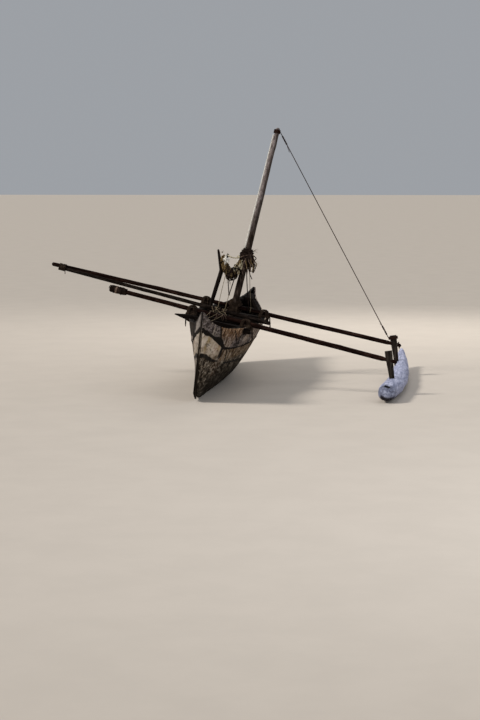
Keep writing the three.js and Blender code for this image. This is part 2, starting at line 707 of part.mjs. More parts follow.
// Bundle of old rope slung from the crutch to the mast, and the turns of it on the mast
const wrap = { from: 1130, to: 1330, radii: [53, 71, 74, 70, 55], sides: 14 };
const wrapPoints = spaced(wrap.from, wrap.to, wrap.radii.length - 1).map(mastAt);
const wrapBody = (grow) => grown(wrapPoints, wrap.radii, wrap.sides, grow);
addTo(hull, 'rope_wrap', cut(wrapBody(0), mastBody(seat)), finish.rope);
const bundle = [
  // x, y, z, radius
  [-22, -206, 1232, 18], [2, -190, 1176, 34], [14, -152, 1104, 44], [4, -104, 1052, 48],
  [-24, -56, 1074, 46], [-56, -30, 1140, 42], [-80, -14, 1205, 30],
];
const largest = (geometry) => {
  const pieces = toSolid(geometry).decompose().sort((a, b) => b.numTri() - a.numTri());
  return fromSolid(pieces[0]);
};
const bundleBody = pole(bundle.map(([x, y, z]) => vec(x, y, z)), bundle.map((row) => row[3]), 12);
const bundleFree = largest(cut(bundleBody, crutchBody(seat), wrapBody(seat), mastBody(seat)));
addTo(hull, 'rope_bundle', bundleFree, finish.rope);

// Stay from the masthead to the head of the aft post, an eye at each end
const stay = { below: 42, belowPostTop: 26, radius: 5, sides: 8, eyeRadius: 7, mastEye: 7.2, postEye: 11 };
const mastLean = mastAxis.clone().applyAxisAngle(xAxis, -heel);
const mastEye = toGround(mastAt(mast.head.z - stay.below));
const postEye = aftBoom.atPost.clone().addScaledVector(postUp, post.rise - stay.belowPostTop);
const eyeWide = mastLean.clone().cross(vec(0, 1, 0)).normalize();
const eyeHigh = eyeWide.clone().cross(mastLean);
const mastEyeHalf = mast.headRadius + stay.mastEye;
const mastLoop = ropeLoop(mastEye, eyeWide, eyeHigh, mastEyeHalf, mastEyeHalf, stay.eyeRadius);
const postEyeHalf = [post.topWidth, post.topDepth].map((size) => size / 2 + stay.postEye);
const postLoop = ropeLoop(postEye, postOut, xAxis, ...postEyeHalf, stay.eyeRadius);
const leaving = postEye.clone().sub(mastEye);
const leavingMast = leaving.clone().addScaledVector(mastLean, -leaving.dot(mastLean)).normalize();
const line = pole([
  mastEye.clone().addScaledVector(leavingMast, mastEyeHalf),
  postEye.clone().addScaledVector(postOut, -postEyeHalf[0]),
], stay.radius, stay.sides);
addTo(canoe, 'stay', join(mastLoop, line, postLoop), finish.stay);

// Origin on the ground under the middle of the whole canoe
const middle = new THREE.Box3().setFromObject(canoe, true).getCenter(vec(0, 0, 0));
canoe.position.set(-middle.x, -middle.y, 0);

export default canoe;
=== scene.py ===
import math
import random

import bmesh
import bpy
from mathutils import Matrix, Vector, noise


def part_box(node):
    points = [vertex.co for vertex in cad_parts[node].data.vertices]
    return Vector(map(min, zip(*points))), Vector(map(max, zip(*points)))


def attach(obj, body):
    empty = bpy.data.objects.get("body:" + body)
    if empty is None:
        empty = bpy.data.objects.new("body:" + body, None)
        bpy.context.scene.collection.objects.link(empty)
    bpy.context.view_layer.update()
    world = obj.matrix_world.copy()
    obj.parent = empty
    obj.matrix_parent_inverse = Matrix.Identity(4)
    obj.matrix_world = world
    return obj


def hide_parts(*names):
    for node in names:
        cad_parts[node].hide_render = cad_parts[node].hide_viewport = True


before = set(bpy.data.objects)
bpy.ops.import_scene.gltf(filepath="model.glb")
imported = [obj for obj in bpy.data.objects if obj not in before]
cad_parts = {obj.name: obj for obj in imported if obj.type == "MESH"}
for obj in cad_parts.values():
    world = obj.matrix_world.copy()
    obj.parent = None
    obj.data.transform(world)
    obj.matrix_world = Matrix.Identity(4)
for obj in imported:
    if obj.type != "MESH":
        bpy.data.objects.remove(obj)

# without a seed, noise_vector starts from the clock
noise.seed_set(5)

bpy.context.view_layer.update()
print("frame loaded:", len(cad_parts), "nodes")

# The plan's own numbers are millimetres about the keel. The stored frame's are metres about the middle of
# the whole canoe
plan = {
    "heel": math.radians(9.7),
    "keelHalfFlat": 30,
    "origin": Vector((-0.409955, -0.067559, 0.0)),
}
heelTurn = Matrix.Rotation(-plan["heel"], 3, "X")
heelLift = plan["keelHalfFlat"] * math.sin(plan["heel"])


def ground(x, y, z):
    return Vector((x, y, z)) * 0.001 + plan["origin"]


def onHull(x, y, z):
    return ground(*(heelTurn @ Vector((x, y, z)) + Vector((0, 0, heelLift))))


def toPlan(point):
    turned = (point - plan["origin"]) * 1000 - Vector((0, 0, heelLift))
    return heelTurn.transposed() @ turned


# Hull surface: u from stern to bow, v from keel to sheer
bow = {"headX": 2700, "headZ": 864, "footX": 2285, "footZ": 110, "keelX": 1907}
stern = {"headX": -1880, "headZ": 823, "footX": -1500, "footZ": 110, "keelX": -1180}
waist = {"height": 662, "halfBeam": 350, "flare": 0.67, "sternFineness": 0.5}
sheerRise = {"bow": 5.5, "stern": 4.5}
stemHalf = 15
planTable = [
    (0, 0), (0.083, 0.19), (0.148, 0.41), (0.279, 0.75), (0.41, 0.98), (0.5, 1),
    (0.6, 0.955), (0.693, 0.82), (0.748, 0.71), (0.813, 0.53), (0.911, 0.25), (1, 0),
]
seamTable = [
    (0, 0.79), (0.1, 0.745), (0.19, 0.705), (0.26, 0.7), (0.5, 0.7), (0.74, 0.7),
    (0.81, 0.709), (0.86, 0.753), (0.91, 0.806), (0.955, 0.828), (1, 0.824),
]


def stemX(end, z):
    if z >= end["footZ"]:
        rise = (z - end["footZ"]) / (end["headZ"] - end["footZ"])
        return end["footX"] + (end["headX"] - end["footX"]) * rise
    fall = 1 - max(z, 0) / end["footZ"]
    return end["keelX"] + (end["footX"] - end["keelX"]) * math.sqrt(1 - fall * fall)


def sheerZ(u):
    head, rise = (bow["headZ"], sheerRise["bow"]) if u > 0.5 else (stern["headZ"], sheerRise["stern"])
    return waist["height"] + (head - waist["height"]) * abs(2 * u - 1) ** rise


def through(rows, at):
    # a smooth curve through the rows
    last = len(rows) - 1
    slopes = []
    for i in range(len(rows)):
        before, after = rows[max(i - 1, 0)], rows[min(i + 1, last)]
        slopes.append((after[1] - before[1]) / (after[0] - before[0]))
    i = next((k for k, row in enumerate(rows) if row[0] >= at), last)
    i = min(max(i, 1), last)
    (a, p), (b, q) = rows[i - 1], rows[i]
    t = min(max((at - a) / (b - a), 0), 1)
    ease = t * t * (3 - 2 * t)
    bend = slopes[i - 1] * (t ** 3 - 2 * t * t + t) + slopes[i] * (t ** 3 - t * t)
    return p * (1 - ease) + q * ease + (b - a) * bend


def hullX(u, v):
    aft = stemX(stern, v * stern["headZ"])
    return aft + (stemX(bow, v * bow["headZ"]) - aft) * u


def hullY(u, v):
    flat = plan["keelHalfFlat"]
    breadth = flat + (waist["halfBeam"] - flat) * max(v, 0) ** waist["flare"]
    fineness = waist["sternFineness"] if u < 0.5 else 0
    return stemHalf + (breadth - stemHalf) * max(through(planTable, u), 0) ** (1 + fineness * (1 - v))


def hullU(x, v):
    return min(max((x - hullX(0, v)) / (hullX(1, v) - hullX(0, v)), 0), 1)


def surfaceAt(x, z):
    # closes in on the u and v of the side at that x and z
    v = z / waist["height"]
    for _ in range(8):
        v = min(z / sheerZ(hullU(x, v)), 1)
    return hullU(x, v), v


def seamHeight(x):
    v = through(seamTable, 0.5)
    for _ in range(6):
        v = through(seamTable, hullU(x, v))
    return v * sheerZ(hullU(x, v))


# Shader sums: one small class round a socket
class Wire:
    def __init__(self, paint, socket):
        self.paint = paint
        self.socket = socket

    def sum(self, operation, *values):
        return self.paint.add("ShaderNodeMath", {"operation": operation}, values)

    def __add__(self, other):
        return self.sum("ADD", self, other)

    def __radd__(self, other):
        return self.sum("ADD", other, self)

    def __sub__(self, other):
        return self.sum("SUBTRACT", self, other)

    def __rsub__(self, other):
        return self.sum("SUBTRACT", other, self)

    def __mul__(self, other):
        return self.sum("MULTIPLY", self, other)

    def __rmul__(self, other):
        return self.sum("MULTIPLY", other, self)

    def __truediv__(self, other):
        return self.sum("DIVIDE", self, other)

    def __pow__(self, power):
        return self.sum("POWER", self, power)

    def __abs__(self):
        return self.sum("ABSOLUTE", self)

    def high(self, other):
        return self.sum("MAXIMUM", self, other)

    def low(self, other):
        return self.sum("MINIMUM", self, other)


shine = 0.015  # old dry wood and rope hardly shine


class Paint:
    def __init__(self, name, roughness=0.9):
        self.material = bpy.data.materials.new(name)
        self.material.use_nodes = True
        self.tree = self.material.node_tree
        self.shader = self.tree.nodes["Principled BSDF"]
        self.shader.inputs["Roughness"].default_value = roughness
        self.shader.inputs["Specular IOR Level"].default_value = shine

    def add(self, kind, settings, values, out=0):
        node = self.tree.nodes.new(kind)
        for key, value in settings.items():
            if key == "stops":
                ramp = node.color_ramp
                while len(ramp.elements) < len(value):
                    ramp.elements.new(0.5)
                for element, (position, color) in zip(ramp.elements, value):
                    element.position = position
                    element.color = (*color, 1)
            else:
                setattr(node, key, value)
        pairs = values.items() if isinstance(values, dict) else enumerate(values)
        for key, value in pairs:
            socket = node.inputs[key]
            if isinstance(value, Wire):
                self.tree.links.new(value.socket, socket)
            elif isinstance(value, tuple) and len(value) == 3 and socket.type == "RGBA":
                socket.default_value = (*value, 1)
            else:
                socket.default_value = value
        return Wire(self, node.outputs[out])

    def place(self, turn=(0, 0, 0), shift=(0, 0, 0)):
        here = self.add("ShaderNodeTexCoord", {}, {}, "Object")
        values = {"Vector": here, "Rotation": turn, "Location": shift}
        return self.add("ShaderNodeMapping", {"vector_type": "POINT"}, values)

    def stretch(self, vector, scale):
        return self.add("ShaderNodeVectorMath", {"operation": "MULTIPLY"}, [vector, scale])

    def axes(self, vector):
        node = self.add("ShaderNodeSeparateXYZ", {}, [vector]).socket.node
        return [Wire(self, socket) for socket in node.outputs]

    def cloud(self, vector, scale, detail, roughness, distortion=0.0):
        values = {"Vector": vector, "Scale": scale, "Detail": detail}
        values.update({"Roughness": roughness, "Distortion": distortion})
        return self.add("ShaderNodeTexNoise", {}, values)

    def streak(self, x, z, start, end, half):
        # a straight mark between two places on the side
        along = Vector(end) - Vector(start)
        way = along.normalized()
        fromX, fromZ = x - start[0], z - start[1]
        across = abs(fromX * way.y - fromZ * way.x)
        reached = fromX * way.x + fromZ * way.y
        ends = self.fade(reached, -0.01, 0.02) * self.fade(reached, along.length + 0.01, along.length - 0.02)
        return self.fade(across, half, half * 0.4) * ends

    def fade(self, value, low, high, start=0.0, end=1.0):
        values = {"Value": value, "From Min": low, "From Max": high, "To Min": start, "To Max": end}
        return self.add("ShaderNodeMapRange", {"interpolation_type": "SMOOTHSTEP"}, values)

    def mix(self, share, first, second):
        return self.add("ShaderNodeMix", {"data_type": "RGBA"}, {0: share, 6: first, 7: second}, 2)

    def colors(self, value, stops):
        return self.add("ShaderNodeValToRGB", {"stops": stops}, [value])

    def attribute(self, name):
        return self.add("ShaderNodeAttribute", {"attribute_name": name}, {}, "Fac")

    def bump(self, height, distance):
        return self.add("ShaderNodeBump", {}, {"Height": height, "Distance": distance, "Strength": 1.0})

    def finish(self, color, roughness=None, normal=None):
        for key, wire in (("Base Color", color), ("Roughness", roughness), ("Normal", normal)):
            if wire is not None:
                self.tree.links.new(wire.socket, self.shader.inputs[key])
        return self.material


def hullPlace(paint):
    back = heelTurn.transposed()
    shift = back @ (-plan["origin"] - Vector((0, 0, heelLift * 0.001)))
    return paint.place(turn=(plan["heel"], 0, 0), shift=tuple(shift))


# Weathered timber: long grain, checks and grey or dark patches
def timber(name, dark, middle, pale, grain=(1.2, 26, 26), turn=(0, 0, 0), patch=1.0, checks=0.5, depth=0.0012,
           salt=0.25, shadeAndDarkLow=None):
    paint = Paint(name)
    here = paint.place(turn=turn)
    along = paint.stretch(here, grain)
    fibre = paint.cloud(along, 3.0, 8, 0.65, 0.4)
    broad = paint.stretch(here, (grain[0] * 0.5, grain[1] * 0.25, grain[2] * 0.25))
    coarse = paint.cloud(broad, 2.0, 4, 0.6, 0.8)
    patches = paint.cloud(here, 4.0 * patch, 5, 0.6, 0.3)
    blotch = paint.fade(patches, 0.35, 0.68)
    color = paint.colors(fibre, [(0.3, dark), (0.5, middle), (0.72, pale)])
    color = paint.mix(paint.fade(coarse, 0.42, 0.6) * 0.55, color, dark)
    color = paint.mix(blotch * 0.45, color, middle)
    split = paint.fade(paint.cloud(paint.stretch(along, (0.35, 1, 1)), 4.2, 3, 0.5, 0.2), 0.6, 0.66) * checks
    color = paint.mix(split, color, tuple(0.25 * c for c in dark))
    dust = paint.fade(paint.cloud(here, 38, 6, 0.7), 0.52, 0.75) * salt
    color = paint.mix(dust, color, pale)
    if shadeAndDarkLow is not None:
        # painted shade along its port side, the side turned from the key light, and dark and brown from a
        # height downwards
        _, y, z = paint.axes(here)
        foot, head = shadeAndDarkLow["foot"], shadeAndDarkLow["head"]
        offCentre = y - foot.y - (z - foot.z) * ((head.y - foot.y) / (head.z - foot.z))
        portShade = paint.fade(offCentre + (coarse - 0.5) * 0.03, -0.006, 0.018)
        color = paint.mix(portShade * 0.72, color, shadeAndDarkLow["portShade"])
        low = paint.fade(z + (patches - 0.5) * 0.9, shadeAndDarkLow["above"], shadeAndDarkLow["below"])
        color = paint.mix(low * 0.94, color, paint.colors(fibre, shadeAndDarkLow["stops"]))
    height = fibre * 0.5 + coarse * 0.6 - split * 1.4
    return paint.finish(color, paint.fade(fibre, 0.3, 0.7, 0.95, 0.78), paint.bump(height, depth))


# Each timber's dark, middle and pale tone
timberTones = {
    "boom": ((0.002, 0.001, 0.0008), (0.011, 0.0048, 0.0035), (0.062, 0.030, 0.022)),
    "pole": ((0.002, 0.0015, 0.001), (0.009, 0.006, 0.005), (0.048, 0.035, 0.027)),
    "mast": ((0.030, 0.020, 0.015), (0.185, 0.150, 0.140), (0.52, 0.47, 0.46)),
    # inner: near black, painted shade for the timbers inside the hull
    "inner": ((0.0015, 0.001, 0.001), (0.006, 0.004, 0.003), (0.030, 0.023, 0.017)),
    "post": ((0.006, 0.005, 0.004), (0.022, 0.017, 0.014), (0.080, 0.064, 0.052)),
}
boomTurn = (math.radians(13), 0, 0)  # the grain of the booms and the spar follows their slope

# Mast: where it stands, in the hull's frame
mastPlan = {"foot": (34, -40, 128), "head": (-326, 105, 2613)}


def mastAt(z, aft=0.0):
    (x0, y0, z0), (x1, y1, z1) = mastPlan["foot"], mastPlan["head"]
    share = (z - z0) / (z1 - z0)
    return onHull(x0 + (x1 - x0) * share - aft, y0 + (y1 - y0) * share, z)


# the mast's painted shade down its port side, and its darker lower part
mastShadeAndDarkLow = {
    "foot": onHull(*mastPlan["foot"]),
    "head": onHull(*mastPlan["head"]),
    "below": 1.35,
    "above": 1.95,
    "portShade": (0.035, 0.026, 0.022),
    "stops": [(0.38, (0.005, 0.0035, 0.0025)), (0.5, (0.020, 0.013, 0.009)), (0.68, (0.085, 0.060, 0.044))],
}

finishes = {
    "boom": timber("boomTimber", *timberTones["boom"], grain=(26, 1.2, 26), turn=boomTurn),
    "pole": timber("darkPoleTimber", *timberTones["pole"], grain=(26, 1.4, 26), turn=boomTurn),
    "crutch": timber("crutchTimber", *timberTones["pole"], grain=(26, 26, 1.6)),
    "mast": timber(
        "mastTimber", *timberTones["mast"], grain=(22, 22, 2.6), patch=1.9, checks=0.8, salt=0.55,
        shadeAndDarkLow=mastShadeAndDarkLow,
    ),
    "inner": timber("innerTimber", *timberTones["inner"], grain=(26, 1.6, 26)),
    "innerLong": timber("innerLongTimber", *timberTones["inner"], grain=(1.4, 26, 26)),
    "post": timber("postTimber", *timberTones["post"], grain=(20, 20, 1.5), checks=0.9, depth=0.002),
}
print("timber finishes made")


# Slow drift of all the timber: neighbours share it, so that joints stay closed
weathering = {"longWave": 2.6, "longDepth": 0.0022, "shortWave": 19.0, "shortDepth": 0.0007}
weld = 0.00004  # corners nearer than this are one
slack = 0.00002  # a cut this near a corner goes through it


def drift(spot):
    long = noise.noise_vector(spot * weathering["longWave"]) * weathering["longDepth"]
    return long + noise.noise_vector(spot * weathering["shortWave"]) * weathering["shortDepth"]


def weather(mesh):
    for vert in mesh.verts:
        vert.co += drift(vert.co)


def copyOf(node):
    mesh = bmesh.new()
    mesh.from_mesh(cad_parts[node].data)
    bmesh.ops.remove_doubles(mesh, verts=mesh.verts, dist=weld)
    return mesh


def mergeFlats(mesh, degrees):
    bmesh.ops.dissolve_limit(mesh, angle_limit=math.radians(degrees), verts=mesh.verts, edges=mesh.edges)


def slices(mesh, normal, step, start=None, stop=None):
    # cuts across, a step apart, so that a long face can drift
    spread = [vert.co.dot(normal) for vert in mesh.verts]
    low = min(spread) if start is None else start
    high = max(spread) if stop is None else stop
    count = max(int(round((high - low) / step)), 1)
    for i in range(1, count):
        at = low + (high - low) * i / count
        geometry = mesh.verts[:] + mesh.edges[:] + mesh.faces[:]
        bmesh.ops.bisect_plane(mesh, geom=geometry, dist=slack, plane_co=normal * at, plane_no=normal)


def wearEdges(mesh, width, sharp=35):
    edges = [e for e in mesh.edges if e.is_manifold and e.calc_face_angle(0) > math.radians(sharp)]
    bmesh.ops.bevel(
        mesh, geom=edges, offset=width, offset_type="OFFSET", affect="EDGES",
        segments=2, profile=0.5, material=-1, clamp_overlap=True,
    )


def enter(data, name, material, nodes, rounds=0):
    data.materials.append(material)
    piece = bpy.data.objects.new(name, data)
    bpy.context.scene.collection.objects.link(piece)
    if rounds:
        rounding = piece.modifiers.new("rounding", "SUBSURF")
        rounding.levels = rounding.render_levels = rounds
    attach(piece, "root")
    if nodes:
        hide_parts(*nodes)


def place(mesh, name, material, nodes=(), smooth=38, rounds=0):
    data = bpy.data.meshes.new(name)
    mesh.to_mesh(data)
    mesh.free()
    data.shade_smooth()
    data.set_sharp_from_angle(angle=math.radians(smooth))
    enter(data, name, material, nodes, rounds)


axisX, axisY, axisZ = Vector((1, 0, 0)), Vector((0, 1, 0)), Vector((0, 0, 1))
hullSide, hullUp = heelTurn @ axisY, heelTurn @ axisZ

booms, sides = ("fore", "aft"), ("port", "starboard")

# Plain timbers, each a worn copy of its solid
timbers = {
    "step": 0.045,
    "edge": 0.0022,
    "flat": 1.5,  # degrees between faces that are merged
    "rows": [
        # finish, slot, nodes
        ("inner", "inner", ["crossbeam_fore", "mast_step"]),
        ("inner", "inner", ["thwart_" + name for name in ("stern", "aft", "mast", "mid", "fore", "bow")]),
        ("innerLong", "inner", ["inwale_port", "inwale_starboard", "breasthook_bow", "breasthook_stern"]),
        ("inner", "inner", [f"rib_{number}" for number in range(1, 6)]),
        ("inner", "inner", [f"saddle_{boom}_{side}" for boom in booms for side in sides]),
        ("post", "post", ["post_fore", "post_aft", "key_fore", "key_aft"]),
        ("stem", "dugout", ["stem_strip_bow", "stem_strip_stern"]),
    ],
    "stemTar": (0.009, 0.007, 0.006),
}


def stemPaint():
    # tarred down the middle, its flanks in the hull's own colours
    paint = Paint("stemCoating", 0.9)
    here = hullPlace(paint)
    _, y, z = paint.axes(here)
    blots = paint.cloud(here, 30, 6, 0.68, 0.4)
    flank = paint.colors(z + (blots - 0.5) * 0.06, [
        (0.30, (0.045, 0.034, 0.024)), (0.45, (0.085, 0.066, 0.048)), (0.48, (0.35, 0.29, 0.22)),
        (0.68, (0.36, 0.30, 0.23)), (0.71, (0.17, 0.15, 0.14)), (0.86, (0.21, 0.19, 0.18)),
    ])
    flank = paint.mix(paint.fade(blots, 0.5, 0.4) * 0.6, flank, (0.02, 0.014, 0.010))
    core = paint.fade(abs(y + (blots - 0.5) * 0.006), 0.0085, 0.0055)
    color = paint.mix(core * 0.96, flank, timbers["stemTar"])
    return paint.finish(color, None, paint.bump(blots - core, 0.0015))


finishes["stem"] = stemPaint()

for finish, slot, nodes in timbers["rows"]:
    for node in nodes:
        mesh = copyOf(node)
        mergeFlats(mesh, timbers["flat"])
        wearEdges(mesh, timbers["edge"])
        for normal in (axisX, hullSide, hullUp):
            slices(mesh, normal, timbers["step"])
        weather(mesh)
        place(mesh, "worn_" + node, finishes[finish], [node])
print("timbers worn")


# Poles: worn copies of the solids, with knots and low lumps
poles = {
    "step": 0.05,
    "knotEvery": 0.34,
    "knotHeight": 0.0035,
    "knotReach": 0.032,
    "lumps": 0.0012,
    "lumpWaves": 11,
    "flat": 0.6,
    "rows": [
        # node, finish, slot
        ("boom_fore", "boom", "boom"), ("boom_aft", "boom", "boom"), ("spar", "pole", "pole"),
        ("crutch", "crutch", "pole"), ("mast", "mast", "mast"),
    ],
}


def dressPole(node, finish, slot):
    chance = random.Random(node)
    mesh = copyOf(node)
    mergeFlats(mesh, poles["flat"])
    low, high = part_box(node)
    size = high - low
    long = max(range(3), key=lambda k: size[k])
    normal = (axisX, axisY, axisZ)[long]
    slices(mesh, normal, poles["step"])
    count = int(size[long] / poles["knotEvery"])
    spots = []
    for _ in range(count):
        vert = chance.choice(mesh.verts[:])
        spots.append((vert.co.copy(), chance.uniform(0.4, 1) * poles["knotHeight"]))
    mesh.normal_update()
    for vert in mesh.verts:
        swell = 0
        for spot, height in spots:
            away = (vert.co - spot).length / poles["knotReach"]
            swell += height * math.exp(-away * away)
        swell += poles["lumps"] * noise.noise(vert.co * poles["lumpWaves"])
        vert.co += vert.normal * swell + drift(vert.co)
    place(mesh, "worn_" + node, finishes[finish], [node], smooth=50, rounds=1)


for row in poles["rows"]:
    dressPole(*row)
print("poles worn")


# Plank butts: x and z of a place on each, and its lean
butts = {"fore": (1936, 510, 1.12), "aft": (-1000, 510, -0.8)}

# Hull paint: an old pale coating over tarred planks, laid out in the hull's own frame
coat = {
    "rustFrom": 1.40,
    # tar over the seam: x, how far it reaches under the seam and over it
    "tar": [
        (-1900, -10, 8), (1300, -10, 9), (1826, -15, 8), (1868, -18, 30), (1935, -6, 56), (2045, 0, 60),
        (2120, 0, 50), (2210, -6, 28), (2330, -9, 27), (2430, -16, 20), (2530, -30, 19), (2610, -36, 6),
    ],
    # lower edge of the light panel: x, height, and the depth of the dark stripe under it
    "panelLow": [
        (1700, 350, 16), (1897, 371, 20), (2029, 391, 28), (2142, 415, 34),
        (2257, 444, 44), (2388, 463, 40), (2481, 467, 44),
    ],
    # aft edge of the light panel: height, x
    "panelAft": [(300, 1820), (367, 1835), (415, 1822), (458, 1876), (510, 1929), (560, 1960)],
    # cracks on the strake: x and z at each end, half the width
    "cracks": [
        ((1.700, 0.655), (1.400, 0.480), 0.012), ((1.385, 0.660), (1.425, 0.480), 0.022),
        ((1.436, 0.585), (1.331, 0.479), 0.018), ((1.242, 0.617), (0.754, 0.558), 0.015),
        ((1.700, 0.470), (1.560, 0.330), 0.012), ((1.604, 0.318), (0.525, 0.280), 0.014),
    ],
    # patches: in x and then in z, the middle and how far from it the patch ends and is full
    "patches": {
        "blush": ((2.05, 0.13, 0.05), (0.50, 0.06, 0.02)),
        "weeping": ((1.84, 0.16, 0.05), (0.34, 0.16, 0.06)),
        "smear": ((1.850, 0.055, 0.035), (0.455, 0.075, 0.05)),
    },
    "ramps": {
        "grey": [(0.40, (0.020, 0.015, 0.013)), (0.5, (0.085, 0.069, 0.064)), (0.60, (0.235, 0.20, 0.195))],
        "pale": [(0.40, (0.050, 0.030, 0.018)), (0.5, (0.27, 0.195, 0.145)), (0.60, (0.56, 0.47, 0.39))],
        "rust": [(0.38, (0.035, 0.013, 0.005)), (0.5, (0.205, 0.096, 0.036)), (0.62, (0.50, 0.33, 0.19))],
        "beige": [(0.36, (0.17, 0.12, 0.075)), (0.48, (0.40, 0.325, 0.245)), (0.60, (0.60, 0.52, 0.43))],
        "brown": [(0.38, (0.014, 0.007, 0.003)), (0.5, (0.112, 0.066, 0.034)), (0.60, (0.44, 0.33, 0.22))],
        "mottle": [
            (0.40, (0.006, 0.004, 0.002)), (0.47, (0.036, 0.025, 0.015)),
            (0.54, (0.15, 0.118, 0.084)), (0.62, (0.40, 0.34, 0.27)),
        ],
        "inside": [
            (0.3, (0.001, 0.0008, 0.0006)), (0.55, (0.003, 0.002, 0.0015)), (0.75, (0.014, 0.011, 0.008)),
        ],
    },
    "tints": {
        "ochre": (0.34, 0.25, 0.10), "blush": (0.24, 0.10, 0.06), "lowDarkening": (0.012, 0.009, 0.006),
        "weeping": (0.11, 0.045, 0.020), "worn": (0.012, 0.008, 0.006), "bleached": (0.42, 0.36, 0.295),
        "boardDark": (0.014, 0.009, 0.006), "boardPale": (0.46, 0.39, 0.31), "sunSideLight": (0.30, 0.27, 0.245),
        "tar": (0.0045, 0.0032, 0.0026), "scar": (0.02, 0.014, 0.010), "speck": (0.3, 0.27, 0.235),
        "run": (0.03, 0.022, 0.017),
    },
}


def rowAt(rows, at, column=1):
    # straight lines between the rows
    last = len(rows) - 1
    i = next((k for k, row in enumerate(rows) if row[0] >= at), last)
    i = min(max(i, 1), last)
    low, high = rows[i - 1], rows[i]
    share = min(max((at - low[0]) / (high[0] - low[0]), 0), 1)
    return low[column] + (high[column] - low[column]) * share


